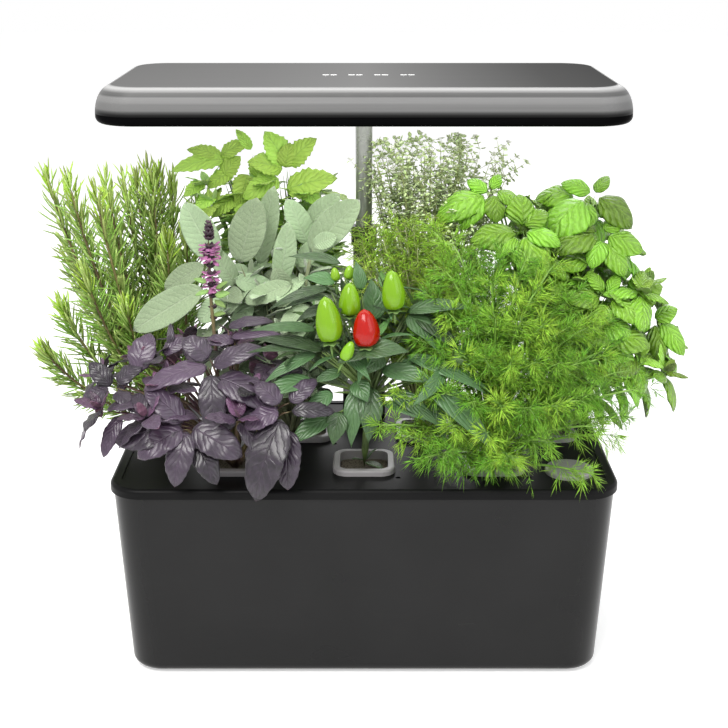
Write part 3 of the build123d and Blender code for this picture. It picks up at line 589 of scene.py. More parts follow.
def stem_finish(name, light, dark, roughness=0.55):
    """Stem material: two colours blended by blotches, with fibres as relief."""
    material, tree, shader = new_material(name)
    skin = use_group(tree, "Stem fibres")
    colour = blend_colour(tree, ramp_between(tree, skin["Blotch"], 0.35, 0.65), rgba(light), rgba(dark))
    feed(tree, shader, {"Base Color": colour, "Roughness": roughness,
                        "Normal": bumped(tree, skin["Height"], 0.5, 0.0003)})
    return material


def plastic_finish(name, colour, rough, worn=None, grain=1400.0, relief=0.12, marks=0.5, metallic=0.0,
                   specular=0.4):
    """
    Moulded or painted housing material, with a fine grain as relief.

    Wear takes the colour towards worn, and the roughness from the first value of rough to the second.
    """
    material, tree, shader = new_material(name)
    skin = use_group(tree, "Moulded grain", {"Grain size": grain, "Marks": marks})
    worn = worn or tuple(min(1.0, 1.25 * c + 0.004) for c in colour)
    feed(tree, shader, {"Base Color": blend_colour(tree, skin["Wear"], rgba(colour), rgba(worn)),
                        "Roughness": maths(tree, "MULTIPLY_ADD", skin["Wear"], rough[1] - rough[0], rough[0]),
                        "Normal": bumped(tree, skin["Height"], relief, 0.0002),
                        "Metallic": metallic, "Specular IOR Level": specular})
    return material


def foam_finish(name, light, dark):
    """Open-cell growing sponge: small dark pores."""
    material, tree, shader = new_material(name)
    place = node(tree, "TexCoord").outputs["Object"]
    cells = node(tree, "TexVoronoi", {"Vector": place, "Scale": 650.0}).outputs["Distance"]
    colour = blend_colour(tree, ramp_between(tree, cells, 0.1, 0.5), rgba(dark), rgba(light))
    feed(tree, shader, {"Base Color": colour, "Roughness": 0.9, "Normal": bumped(tree, cells, 0.8, 0.0006)})
    return material


def give(material, *nodes):
    """Puts one material on carried-over CAD nodes."""
    for name in nodes:
        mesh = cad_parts[name].data
        mesh.materials.clear()
        mesh.materials.append(material)


# ---------------------------------------------------------------- housing and lamp


def finish_housing(props):
    """Materials of the tank, deck, mast, pump, baskets and small fittings."""
    give(plastic_finish("Tank black", props.black, rough=(0.22, 0.30), relief=0.03, specular=0.24), "tank")
    give(plastic_finish("Deck black", props.black, rough=(0.34, 0.48), relief=0.10, specular=0.07),
         "grow_deck", "mast_socket")
    give(plastic_finish("Mast grey", (0.33, 0.34, 0.32), rough=(0.25, 0.38), metallic=0.5, grain=900.0,
                        marks=0.9), "mast_tube", "mast_plug")
    give(plastic_finish("Sleeve grey", (0.07, 0.07, 0.075), rough=(0.3, 0.42), grain=900.0), "mast_sleeve")
    give(plastic_finish("Bush nylon", (0.035, 0.035, 0.037), rough=(0.45, 0.55)), "mast_bush", "lamp_block")
    give(plastic_finish("Rubber", (0.018, 0.018, 0.019), rough=(0.75, 0.9), grain=2400.0, relief=0.4),
         "rubber_feet", "pump_suction_cups", "cap_seal")
    give(plastic_finish("Pump housing", (0.03, 0.032, 0.036), rough=(0.4, 0.5)), "pump_body", "pump_grille")
    give(plastic_finish("Clear hose", (0.55, 0.58, 0.58), rough=(0.2, 0.35), grain=500.0), "pump_riser")
    give(plastic_finish("Fill cap grey", props.collar_grey, rough=(0.35, 0.5), relief=0.2), "fill_cap")
    give(plastic_finish("Level float", (0.75, 0.16, 0.05), rough=(0.35, 0.5)), "level_float")
    give(plastic_finish("Level guide", (0.06, 0.06, 0.062), rough=(0.3, 0.45)), "level_guide")
    give(plastic_finish("Power jack", (0.03, 0.03, 0.031), rough=(0.5, 0.6)), "power_jack")
    give(plastic_finish("Screw steel", (0.55, 0.55, 0.56), rough=(0.22, 0.4), metallic=1.0), "socket_screws",
         "lamp_screws")
    pods = range(1, 8)
    give(plastic_finish("Basket grey", props.collar_grey, rough=(0.3, 0.45), grain=700.0, relief=0.25),
         *[f"basket_{i}" for i in pods])
    give(foam_finish("Sponge", (0.20, 0.17, 0.13), (0.035, 0.028, 0.02)), *[f"sponge_{i}" for i in pods])


def grey_ramp(tree, value, stops):
    """Grey read off a ramp whose stops are (place, grey), from place 0 to place 1."""
    made = node(tree, "ValToRGB", {0: value})
    for place, _ in stops[1:-1]:
        made.color_ramp.elements.new(place)
    for element, (_, grey) in zip(made.color_ramp.elements, stops):
        element.color = (grey, grey, grey, 1.0)
    return made.outputs[0]


def lamp_finish_with_painted_light(name, tint):
    """
    Lamp cover grey over the cover's own height and width, with light painted in: painted shade as a dark foot
    under the rounded lower edge, painted reflections as grey stripes along the side, a painted highlight
    along the upper edge, and a brushed top whose painted reflection darkens from left to right.
    """
    material, tree, shader = new_material(name)
    low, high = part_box("lamp_cover")
    place = node(tree, "TexCoord").outputs["Object"]
    parts = node(tree, "SeparateXYZ", {0: place}).outputs
    rise = node(tree, "MapRange", {0: parts[2], 1: low.z, 2: high.z}).outputs[0]
    across = node(tree, "MapRange", {0: parts[0], 1: low.x, 2: high.x}).outputs[0]
    # painted light along the height: painted shade at the dark foot, painted reflections as the grey stripes,
    # and a painted highlight near the top edge
    side = grey_ramp(tree, rise, ((0.0, 0.002), (0.07, 0.01), (0.15, 0.06), (0.22, 0.15), (0.42, 0.16),
                                  (0.50, 0.20), (0.64, 0.21), (0.70, 0.10), (0.80, 0.12), (0.86, 0.27),
                                  (0.93, 0.46), (1.0, 0.36)))
    # painted reflection on the top: lighter at the left, darker towards the right
    top = grey_ramp(tree, across, ((0.0, 0.15), (0.3, 0.17), (0.5, 0.20), (0.66, 0.14), (0.85, 0.08),
                                   (1.0, 0.06)))
    flat = ramp_between(tree, rise, 0.965, 0.995)
    grey = blend_colour(tree, flat, side, top)
    stretched = node(tree, "Mapping", {"Vector": place, "Scale": (6.0, 1500.0, 1500.0)}).outputs[0]
    brushed = node(tree, "TexNoise", {"Vector": stretched, "Scale": 1.0, "Detail": 2.0}).outputs[0]
    value = maths(tree, "MULTIPLY_ADD", brushed, 0.24, 0.88)
    painted = node(tree, "HueSaturation", {"Value": value, "Color": grey}).outputs[0]
    feed(tree, shader, {"Base Color": blend_colour(tree, 1.0, painted, rgba(tint), "MULTIPLY"),
                        "Roughness": maths(tree, "MULTIPLY_ADD", brushed, 0.12, 0.30),
                        "Specular IOR Level": maths(tree, "MULTIPLY_ADD", flat, -0.12, 0.12)})
    return material


def finish_lamp(props):
    """Materials of the lamp head."""
    # the lamp cover's grey carries painted shade, painted reflections and a painted highlight
    give(lamp_finish_with_painted_light("Lamp grey with painted light", props.lamp_tint), "lamp_cover")
    give(plastic_finish("Lamp tray black", (0.002, 0.002, 0.0022), worn=(0.004, 0.004, 0.0044),
                        rough=(0.25, 0.35), relief=0.04, specular=0.005), "lamp_tray")
    diffuser = plastic_finish("Diffuser", (0.80, 0.80, 0.78), rough=(0.45, 0.6), grain=300.0, relief=0.3)
    feed(diffuser.node_tree, diffuser.node_tree.nodes["Principled BSDF"],
         {"Emission Color": rgba((1.0, 0.98, 0.94)), "Emission Strength": props.glow})
    give(diffuser, "lamp_diffuser")
    give(plastic_finish("Board white", (0.66, 0.68, 0.66), rough=(0.4, 0.5), grain=400.0), "led_board")
    give(plastic_finish("Touch board", (0.03, 0.12, 0.05), rough=(0.4, 0.5), grain=400.0), "touch_board")
    give(plastic_finish("LED phosphor", (0.85, 0.70, 0.22), rough=(0.3, 0.45), grain=900.0), "led_chips")


def ring_plate(bodies, centre, outer, inner, tall):
    """
    A flat ring: a small rectangle carried once round a circle.

    Section corners are (inner, 0), (outer, 0), (outer, tall), (inner, tall) at each step of the turn.
    """
    steps = 36
    turns = full_turn(steps)
    section = np.array(((inner, 0), (outer, 0), (outer, tall), (inner, tall)))
    radius, height = section[:, 0], section[:, 1]
    points = np.stack((np.outer(np.cos(turns), radius), np.outer(np.sin(turns), radius),
                       np.tile(height, (steps, 1))), -1) + centre
    total = 4 * steps
    i = np.arange(steps)[:, None] * 4
    j = np.arange(4)
    following = (i + 4) % total
    quads = np.stack((i + j, following + j, following + (j + 1) % 4, i + (j + 1) % 4), -1).reshape(-1)
    bodies.points.append(points.reshape(-1, 3))
    bodies.corners.append(quads + bodies.total)
    bodies.counts.append(np.full(total, 4))
    bodies.uv.append(np.zeros((total, 2)))
    bodies.leaf.append(np.zeros((total, 3)))
    bodies.total += total


def make_touch_marks(props):
    """Four pairs of small printed rings in a row on the lamp's cover, over the touch board."""
    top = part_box("lamp_cover")[1].z
    row_y, ink = -11.6 * MM, 0.15 * MM
    apart, outer, inner = 0.27 * props.icon_size, 0.24 * props.icon_size, 0.13 * props.icon_size
    marks = Bodies()
    for x in (-24.0, -6.0, 12.0, 30.5):
        for shift in (-apart, apart):
            ring_plate(marks, np.array((x * MM + shift, row_y, top)), outer, inner, ink)
    paint = plastic_finish("Mark white", (0.9, 0.9, 0.9), rough=(0.4, 0.5), grain=900.0)
    make_piece(marks, "touch_marks", paint, "lamp", smooth=False)


# ---------------------------------------------------------------- plants


def golden_dome(centre, radii, count, low, high, floor, rng):
    """
    Points spread over an upper dome: centre + radii (flat cos turn, flat sin turn, z), with flat^2 + z^2 = 1.

    z falls evenly from the pole to the share floor, and each next point turns by the golden angle. The points
    are kept inside the box from low to high. Every size is in millimetres.
    """
    i = np.arange(count) + 0.5
    z = 1 - (1 - floor) * i / count
    flat = np.sqrt(1 - z ** 2)
    turn = GOLDEN_TURN * i
    out = np.stack((flat * np.cos(turn), flat * np.sin(turn), z), -1)
    reach = rng.uniform(0.82, 1.04, (count, 1))
    return np.clip(mm(centre) + out * mm(radii) * reach, mm(low), mm(high))


def pairs_along(bodies, foot, middle, end, shares, length, form, rng, slim, spread=62, droop=0.7, stations=9,
                around=8, young=1.0):
    """
    Opposite pairs of leaves along quadratic stems; each next pair turns by a right angle.

    shares are the places along the stem; leaves shorten towards its end by the factor young.
    """
    shares = np.asarray(shares)
    points, tangents = bezier(foot, middle, end, shares)
    n, k = points.shape[:2]
    at = np.repeat(points.reshape(-1, 3), 2, axis=0)
    axis = np.repeat(tangents.reshape(-1, 3), 2, axis=0)
    pair = np.tile(np.repeat(np.arange(k), 2), n)
    turn = np.repeat(rng.random(n) * RANDOM_TURN, 2 * k) + pair * np.pi / 2 + np.tile((0, np.pi), n * k)
    turn = turn + rng.normal(0, 0.25, len(turn))
    share = np.tile(np.repeat(shares, 2), n)
    heading, face = around_axis(axis, turn, np.radians(spread) + rng.normal(0, 0.16, len(turn)))
    size = length * (1 - (1 - young) * share) * rng.uniform(0.8, 1.12, len(turn))
    bend = droop + rng.normal(0, 0.15, len(turn))
    add_leaves(bodies, at, heading, face, size, size * slim * 0.5, bend, form, rng, stations, around,
               age=0.15 * share)


def leaf_between(bodies, rows, face, droop, form, rng, stations, around=12, age=0.2):
    """
    Leaves placed by hand: each row holds the base x, y, z, the tip x, y, z and the width, in millimetres.

    The arc's chord joins base and tip: the heading is the chord turned up by half the droop k, and the
    length is chord (k/2) / sin(k/2). Returns the bases.
    """
    rows = mm(rows)
    base, tip, width = rows[:, :3], rows[:, 3:6], rows[:, 6]
    chord = tip - base
    size = np.linalg.norm(chord, axis=1)
    along = chord / size[:, None]
    upper = unit(np.array(face, float)) + rng.normal(0, 0.12, along.shape)
    upper = unit(upper - (upper * along).sum(1, keepdims=True) * along)
    half = (droop * rng.uniform(0.75, 1.25, len(rows)) / 2)[:, None]
    heading = np.cos(half) * along + np.sin(half) * upper
    normal = np.cos(half) * upper - np.sin(half) * along
    half = half[:, 0]
    add_leaves(bodies, base, heading, normal, size * half / np.sin(half), width / 2, 2 * half, form, rng,
               stations, around, age=age)
    return base


def slivers(bodies, at, heading, length, radius, rng, age):
    """Threads of a frond: straight three-sided spindles, widest at the share thick of their length."""
    thick = 0.35
    a, b = side_frame(heading)
    length = length[:, None]
    rings = ((at + heading * length * thick)[:, None] + radius * spokes(a, b, full_turn(3)))[:, None]
    leaf = leaf_values(rings.shape, rng.random(len(at)), age=age)
    bodies.add(at, rings, at + heading * length, np.array((thick,)), np.arange(3) / 3, leaf)


def rosemary(props):
    """Upright woody stems with open needles in crossed pairs, and a low twig at the left."""
    rng = np.random.default_rng(props.seed)
    tips = mm(((-240, 44, 346), (-221, 30, 346), (-198, 14, 338), (-196, 46, 342), (-191, 98, 333),
               (-182, 98, 334), (-173, 100, 341), (-164, 102, 338), (-154, 104, 331), (-168, 94, 336),
               (-200, 78, 322), (-228, 76, 318), (-206, 104, 296), (-240, 96, 280), (-134, 100, 318),
               (-148, 22, 300), (-138, 62, 306), (-208, 4, 280), (-178, 0, 256), (-228, 12, 252),
               (-160, 2, 238), (-170, 100, 284), (-240, 2, 219)))
    foot = pod_foot(4)
    stems = Bodies()
    start, middle, end = stems_to(stems, foot, tips, 0.0016, rng, rise=0.42, leaning=0.72, steps=12)
    needles = Bodies()
    whorls = 72
    share = np.repeat(np.linspace(0.30, 1.0, whorls), 2)
    points, tangents = bezier(start, middle, end, share)
    n = len(tips)
    at, axis = points.reshape(-1, 3), tangents.reshape(-1, 3)
    crossed = np.repeat(np.arange(whorls) * np.pi / 2, 2) + np.tile((0, np.pi), whorls)
    turn = (crossed + rng.random((n, 1)) * RANDOM_TURN).ravel() + rng.normal(0, 0.3, len(at))
    along = np.tile(share, n)
    open_angle, closing, half_width = 54, 34, 0.001
    spread = np.radians(open_angle - closing * along ** 6) + rng.normal(0, 0.16, len(at))
    heading, face = around_axis(axis, turn, spread)
    length = props.needle * (1.04 - 0.35 * along ** 10) * rng.uniform(0.7, 1.12, len(at))
    form = {"shape": lambda u: (4 * u * (1 - u)) ** 0.35, "thickness": 0.0004, "cup": 0.5}
    age = np.where(along > 0.9, 0.9, 0.2 * along)
    add_leaves(needles, at, heading, face, length, half_width, rng.normal(-0.2, 0.3, len(at)), form, rng,
               stations=3, around=4, age=age)
    green = leaf_finish("Rosemary needle", props.rosemary_green, ribs=0, variation=0.5, roughness=0.5,
                        under=(0.40, 0.53, 0.15), young=(0.42, 0.62, 0.07))
    make_piece(needles, "rosemary_needles", green, "pod_4", ("rosemary",))
    bark = stem_finish("Rosemary stem", (0.20, 0.17, 0.06), (0.10, 0.065, 0.03))
    make_piece(stems, "rosemary_stems", bark, "pod_4", ("rosemary",))


def sage(props):
    """Felted long oval leaves that stand and arch from short stems."""
    rng = np.random.default_rng(props.seed + 1)
    rows = ((-110, 10, 289, -132, 8, 334, 25), (-92, 0, 290, -78, 4, 338, 27),
            (-78, 12, 286, -66, 14, 345, 19), (-63, 2, 272, -56, 6, 320, 18),
            (-42, 18, 300, -58, 20, 334, 19), (-44, 24, 311, -18, 28, 336, 17),
            (-40, 4, 297, -3, 6, 336, 25), (-37, -4, 304, -20, -6, 311, 13),
            (-119, -4, 272, -172, -8, 240, 25), (-119, 6, 287, -149, 4, 268, 17),
            (-103, -2, 265, -123, -6, 246, 16), (-53, -6, 275, -89, -9, 262, 16),
            (-96, 4, 277, -64, 0, 268, 16), (-66, -2, 287, -56, 0, 262, 15),
            (-70, -6, 262, -44, -9, 268, 14), (-96, 8, 270, -116, 12, 300, 16),
            (-50, 10, 285, -30, 14, 305, 15), (-84, 4, 262, -98, -6, 238, 14))
    form = {"shape": oval(0.48, 0.62), "cup": -0.16, "fold": 0.10, "wave": 0.06, "ripples": 14,
            "thickness": 0.0006}
    leaves = Bodies()
    shown = leaf_between(leaves, rows, (0.1, -0.85, 0.5), 0.35, form, rng, stations=13)
    foot = pod_foot(5) + mm((-10, 0, 0))
    dome = golden_dome((-68, 14, 208), (54, 26, 82), 22, (-108, -9, 188), (-12, 38, 292), -0.1, rng)
    stems = Bodies()
    ends = np.concatenate((shown, dome))
    start, middle, end = stems_to(stems, foot, ends, 0.0018, rng, rise=0.55, leaning=0.3)
    start, middle, end = start[len(shown):], middle[len(shown):], end[len(shown):]
    pairs_along(leaves, start, middle, end, (0.5, 0.68, 0.84), props.sage_leaf * 1.05, form, rng, slim=0.42,
                spread=58, droop=0.5, around=12, young=0.8)
    rosettes(leaves, end, end - middle, props.sage_leaf, 3, form, rng, slim=0.44, droop=0.4)
    grey = leaf_finish("Sage leaf", props.sage_green, under=(0.50, 0.56, 0.46), young=(0.46, 0.55, 0.38),
                       vein=(0.52, 0.59, 0.44), ribs=11, slant=1.6, midrib=0.08, variation=0.45,
                       roughness=0.8, quilt=0.45, vein_share=0.28, mottle=900.0, sheen=0.2, depth=0.0005)
    make_piece(leaves, "sage_leaves", grey, "pod_5", ("sage",))
    skin = stem_finish("Sage stem", (0.33, 0.38, 0.22), (0.22, 0.24, 0.13), roughness=0.8)
    make_piece(stems, "sage_stems", skin, "pod_5", ("sage",))


def mint(props):
    """Bright serrated leaves in crossed pairs, closing into a rosette at each tip."""
    rng = np.random.default_rng(props.seed + 2)
    tips = mm(((-60, 72, 348), (-90, 74, 342), (-111, 86, 352), (-86, 82, 358), (-116, 64, 320),
               (-122, 78, 332), (-50, 62, 326), (-82, 100, 326), (-34, 88, 326), (-74, 60, 318),
               (-98, 60, 308), (-45, 102, 304), (-108, 100, 302), (-66, 106, 280), (-30, 70, 304),
               (-38, 58, 286), (-90, 108, 256), (-40, 108, 248), (-106, 84, 278), (-62, 58, 272),
               (-84, 56, 256), (-28, 84, 270)))
    foot = pod_foot(5) + mm((10, 6, 0))
    stems, leaves = Bodies(), Bodies()
    start, middle, end = stems_to(stems, foot, tips, 0.0015, rng, rise=0.55, leaning=0.5)
    form = {"shape": oval(0.38, 0.55), "cup": 0.20, "fold": 0.24, "wave": 0.08, "ripples": 20, "teeth": 0.08,
            "thickness": 0.0004}
    rows = ((-60, 72, 350, -77, 76, 376, 22), (-58, 70, 351, -36, 66, 372, 20),
            (-61, 68, 349, -57, 72, 368, 16), (-63, 68, 348, -90, 64, 354, 21),
            (-60, 60, 333, -20, 56, 343, 25), (-66, 66, 341, -94, 58, 326, 20),
            (-90, 72, 343, -98, 60, 320, 19), (-111, 84, 355, -139, 86, 360, 13),
            (-109, 82, 353, -151, 78, 344, 17), (-112, 84, 355, -88, 82, 367, 14),
            (-88, 80, 361, -100, 86, 376, 9), (-103, 78, 344, -122, 70, 332, 16),
            (-129, 84, 346, -146, 88, 349, 11), (-100, 66, 327, -118, 56, 312, 17),
            (-94, 64, 325, -90, 54, 306, 17), (-125, 76, 336, -140, 68, 326, 14),
            (-83, 70, 341, -78, 76, 360, 17), (-117, 68, 327, -130, 58, 316, 15),
            (-50, 62, 336, -34, 54, 322, 18), (-110, 76, 340, -96, 80, 356, 17))
    shown = leaf_between(leaves, rows, (0.0, -0.7, 0.7), 0.7, form, rng, stations=15)
    stems_to(stems, start[0], shown, 0.0011, rng, rise=0.6, leaning=0.6)
    by_hand = 4  # the first tips carry the leaves listed one by one
    axes = (end - middle)[by_hand:] + UP * 0.06
    rosettes(leaves, end[by_hand:], axes, props.mint_leaf, 4, form, rng, slim=0.58, stations=13, droop=0.6)
    pairs_along(leaves, start, middle, end, (0.52, 0.64, 0.75, 0.85), props.mint_leaf * 1.1, form, rng,
                slim=0.56, stations=13, droop=0.75)
    green = leaf_finish("Mint leaf", props.mint_green, young=(0.54, 0.76, 0.18), under=(0.50, 0.68, 0.30),
                        vein=(0.30, 0.52, 0.10), ribs=7, slant=2.0, variation=0.35, roughness=0.5, quilt=1.0)
    make_piece(leaves, "mint_leaves", green, "pod_5", ("mint",))
    skin = stem_finish("Mint stem", (0.22, 0.36, 0.08), (0.14, 0.20, 0.06))
    make_piece(stems, "mint_stems", skin, "pod_5", ("mint",))


def purple_basil(props):
    """Broad dark leaves in whorls over short side stems, and one flowering spike."""
    rng = np.random.default_rng(props.seed + 3)
    rows = ((-110, -72, 233, -154, -84, 219, 18), (-106, -72, 233, -70, -70, 246, 16),
            (-109, -68, 238, -128, -62, 250, 18), (-107, -76, 228, -104, -94, 190, 20),
            (-103, -76, 226, -60, -88, 206, 24), (-101, -72, 222, -94, -86, 190, 22),
            (-126, -90, 198, -153, -84, 220, 20), (-127, -92, 196, -174, -92, 183, 28),
            (-126, -94, 194, -157, -104, 176, 22), (-123, -96, 193, -131, -112, 158, 20),
            (-119, -94, 195, -84, -106, 178, 24), (-120, -92, 187, -102, -108, 158, 18),
            (-57, -98, 203, -75, -114, 148, 30), (-52, -96, 194, -53, -108, 154, 20),
            (-59, -96, 208, -83, -98, 196, 17), (-58, -94, 213, -76, -84, 224, 16),
            (-50, -96, 208, -20, -92, 206, 12), (-51, -92, 213, -33, -80, 226, 14),
            (-181, -68, 215, -199, -72, 210, 11), (-180, -66, 216, -195, -60, 232, 14),
            (-176, -70, 213, -160, -82, 202, 13), (-175, -66, 218, -157, -56, 230, 14),
            (-162, -60, 226, -153, -44, 249, 20), (-144, -52, 236, -124, -46, 245, 12),
            (-138, -50, 236, -139, -42, 256, 6), (-172, -78, 198, -183, -92, 172, 12),
            (-97, -50, 255, -64, -50, 259, 10), (-95, -52, 248, -58, -54, 250, 9),
            (-92, -52, 246, -116, -52, 244, 11), (-43, -66, 227, -68, -72, 228, 12))
    centres = mm(((-95, -50, 236), (-154, -50, 226), (-70, -45, 226), (-150, -92, 200), (-88, -94, 200),
                  (-182, -84, 204), (-188, -40, 212), (-165, -28, 222), (-128, -26, 234), (-92, -24, 232),
                  (-140, -74, 214), (-80, -76, 214)))
    foot = pod_foot(1)
    stems, leaves = Bodies(), Bodies()
    stems_to(stems, foot, centres, 0.0019, rng, rise=0.75, leaning=0.3)
    form = {"shape": oval(0.42, 0.50), "cup": 0.30, "fold": 0.30, "wave": 0.12, "ripples": 17, "teeth": 0.03,
            "thickness": 0.0004}
    shown = leaf_between(leaves, rows, (0.0, -0.6, 0.75), 0.8, form, rng, stations=15)
    stems_to(stems, foot, shown, 0.0013, rng, rise=0.8, leaning=0.5)
    outward = unit((centres - mm((-112, -60, 190))) * np.array((1, 1, 0.6)) + UP * 0.03)
    axes = unit(outward + UP * 0.9)
    rosettes(leaves, centres, axes, props.purple_leaf * 0.8, 4, form, rng, slim=0.5, stations=13, droop=0.8)
    dark = leaf_finish("Purple basil leaf", props.purple, under=(0.14, 0.06, 0.10), young=(0.10, 0.035, 0.09),
                       vein=(0.15, 0.09, 0.15), ribs=7, slant=2.2, midrib=0.06, variation=1.1, roughness=0.33,
                       quilt=0.35, vein_share=0.14, sheen=0.1, depth=0.0005, specular=0.6)
    make_piece(leaves, "purple_basil_leaves", dark, "pod_1", ("purple_basil",))
    spike = mm(((-104, -52, 200), (-107, -42, 235), (-110, -34, 268), (-111, -30, 296), (-111, -29, 324)))
    add_tubes(stems, spike[None], np.array((1.6, 1.5, 1.3, 1.0, 0.6)) * MM)
    skin = stem_finish("Purple basil stem", (0.16, 0.13, 0.05), (0.10, 0.04, 0.06))
    make_piece(stems, "purple_basil_stems", skin, "pod_1", ("purple_basil",))
    make_spike(rng)


def make_spike(rng):
    """
    The flowering spike: whorls of six dark bracts, closed at the top, and small pink flowers lower down.

    The whorls stand on a line that leans back as it rises. Each flower has three petals, a swing apart.
    """
    heights = np.array((326, 323, 320, 317, 314, 308, 304, 300, 294, 288, 280, 272, 264, 256))
    below = 320 - heights
    centres = mm(np.stack((-110.5 + below * 0.03, -29.5 - below * 0.06, heights), -1))
    bracts, flowers = Bodies(), Bodies()
    which = np.repeat(np.arange(len(heights)), 6)
    turn = np.tile(np.arange(6) * np.pi / 3, len(heights)) + which * 0.5
    axis = np.tile(UP, (len(which), 1))
    heading, face = around_axis(axis, turn, np.radians(44) + rng.normal(0, 0.1, len(which)))
    size = np.array((3.0, 4.4, 5.4, 6.0, 6.0, 5.4, 5.4, 5.2, 5.2, 5.6, 5.0, 5.0, 4.6, 4.4))[which] * MM
    form = {"shape": oval(0.4), "cup": 0.3, "thickness": 0.0005}
    add_leaves(bracts, centres[which], heading, face, size, size * 0.42, rng.normal(0, 0.2, len(which)), form,
               rng, stations=5, around=6)
    flowering = np.isin(which, (5, 6, 7, 9, 10)) & (rng.random(len(which)) > 0.1)
    petals = np.repeat(np.flatnonzero(flowering), 3)
    swing = np.tile((-0.55, 0.0, 0.55), flowering.sum())
    spread = np.radians(72) + rng.normal(0, 0.25, len(petals))
    heading, face = around_axis(axis[petals], turn[petals] + swing, spread)
    foot, size = centres[which[petals]] + heading * 0.0022, rng.uniform(4.6, 7.4, len(petals)) * MM
    petal = {"shape": oval(0.62), "cup": 0.3, "wave": 0.2, "thickness": 0.0003}
    add_leaves(flowers, foot, heading, face, size, 0.0021, rng.normal(0.6, 0.3, len(petals)), petal, rng,
               stations=5, around=6)
    small = ((-106, -38, 281, -96, -44, 287, 6), (-107, -38, 276, -95, -42, 278, 7),
             (-107, -38, 272, -98, -46, 268, 5), (-112, -36, 285, -122, -40, 288, 5),
             (-111, -36, 279, -121, -42, 276, 5), (-108, -40, 262, -98, -46, 264, 6))
    greens = Bodies()
    leaf_between(greens, small, (0, -0.6, 0.8), 0.5, form, rng, stations=7, around=8, age=0.6)
    fresh = leaf_finish("Spike leaf", (0.20, 0.33, 0.09), ribs=5, variation=0.4)
    make_piece(greens, "spike_leaves", fresh, "pod_1")
    plum = leaf_finish("Bract plum", (0.07, 0.025, 0.05), ribs=0, variation=0.4)
    make_piece(bracts, "spike_bracts", plum, "pod_1")
    pink = leaf_finish("Flower pink", (0.46, 0.16, 0.36), under=(0.56, 0.26, 0.46), ribs=3, variation=0.4)
    make_piece(flowers, "spike_flowers", pink, "pod_1")


def pepper(props):
    """A small woody crown with long drooping leaves and upright fruit."""
    rng = np.random.default_rng(props.seed + 4)
    rows = ((-16, -44, 300, -54, -44, 305, 11), (-20, -52, 289, -43, -54, 292, 12),
            (-24, -58, 286, -68, -66, 271, 9), (-25, -58, 279, -57, -64, 272, 8),
            (-33, -68, 258, -80, -74, 259, 9), (-28, -70, 244, -79, -76, 254, 12),
            (-32, -70, 245, -82, -80, 245, 9), (-33, -70, 242, -71, -84, 223, 11),
            (-36, -76, 224, -74, -88, 214, 15), (-16, -68, 228, -36, -74, 221, 10),
            (-22, -76, 215, -45, -86, 198, 13), (-24, -80, 198, -53, -92, 181, 16),
            (-17, -80, 202, -22, -90, 180, 15), (-4, -70, 218, -9, -86, 177, 15),
            (5, -70, 217, 3, -88, 181, 18), (-6, -72, 222, 3, -84, 210, 15),
            (-4, -80, 246, 32, -84, 247, 18), (4, -80, 248, -19, -88, 240, 14),
            (30, -64, 238, 86, -84, 216, 13), (12, -70, 230, 52, -84, 224, 15),
            (42, -76, 226, 92, -104, 179, 19), (17, -72, 216, 54, -92, 194, 14),
            (14, -74, 206, 43, -92, 199, 10), (30, -50, 266, 78, -56, 270, 15),
            (31, -52, 265, 50, -64, 246, 18), (35, -50, 265, 69, -64, 239, 15),
            (46, -52, 257, 61, -62, 239, 8), (-2, -56, 284, -6, -50, 304, 10),
            (7, -50, 260, 5, -42, 289, 18), (49, -72, 210, 57, -88, 182, 10),
            (12, -66, 240, 2, -78, 229, 14), (22, -60, 230, 55, -72, 232, 10),
            (-25, -56, 272, -48, -60, 262, 10))
    foot = pod_foot(2)
    stems, leaves = Bodies(), Bodies()
    crown = mm((4, -62, 224))
    trunk = np.linspace(foot, crown, 6)[None]
    add_tubes(stems, trunk, np.array((2.6, 2.6, 2.5, 2.4, 2.3, 2.2)) * MM, around=8)
    form = {"shape": oval(0.36, 0.72), "cup": 0.14, "fold": 0.30, "wave": 0.04, "ripples": 9,
            "thickness": 0.0004}
    shown = leaf_between(leaves, rows, (0.0, -0.6, 0.8), 0.75, form, rng, stations=13)
    stems_to(stems, crown - mm((0, 0, 16)), shown, 0.0014, rng, rise=0.4, leaning=0.3)
    nodes = mm(((-12, -40, 270), (14, -36, 276), (36, -38, 262), (-32, -36, 252), (52, -40, 240),
                (0, -30, 252), (24, -28, 240), (-22, -28, 232), (-44, -58, 236), (58, -72, 232),
                (8, -60, 246), (-14, -62, 238)))
    stems_to(stems, crown - mm((0, 0, 20)), nodes, 0.0015, rng, rise=0.45, leaning=0.4)
    axes = unit(nodes - mm((6, -52, 210)) + UP * 0.03)
    rosettes(leaves, nodes, axes, props.pepper_leaf * 0.72, 4, form, rng, slim=0.28, stations=11, droop=0.9)
    low = ((1, -48, 151, 15, -62, 149, 11), (-1, -47, 152, -9, -54, 156, 7), (2, -46, 152, 10, -42, 160, 6))
    leaf_between(leaves, low, (0, 0.2, 1), 0.5, form, rng, stations=9, around=8, age=0.6)
    green = leaf_finish("Pepper leaf", props.pepper_green, under=(0.16, 0.24, 0.12),
                        young=(0.12, 0.26, 0.06), vein=(0.14, 0.24, 0.09), ribs=6, slant=2.6, midrib=0.07,
                        variation=0.7, roughness=0.34, quilt=0.5, vein_share=0.35, depth=0.0006,
                        specular=0.5)
    make_piece(leaves, "pepper_leaves", green, "pod_2", ("pepper",))
    skin = stem_finish("Pepper stem", (0.17, 0.26, 0.07), (0.10, 0.15, 0.05))
    make_piece(stems, "pepper_stems", skin, "pod_2", ("pepper",))
    make_fruit(rng)


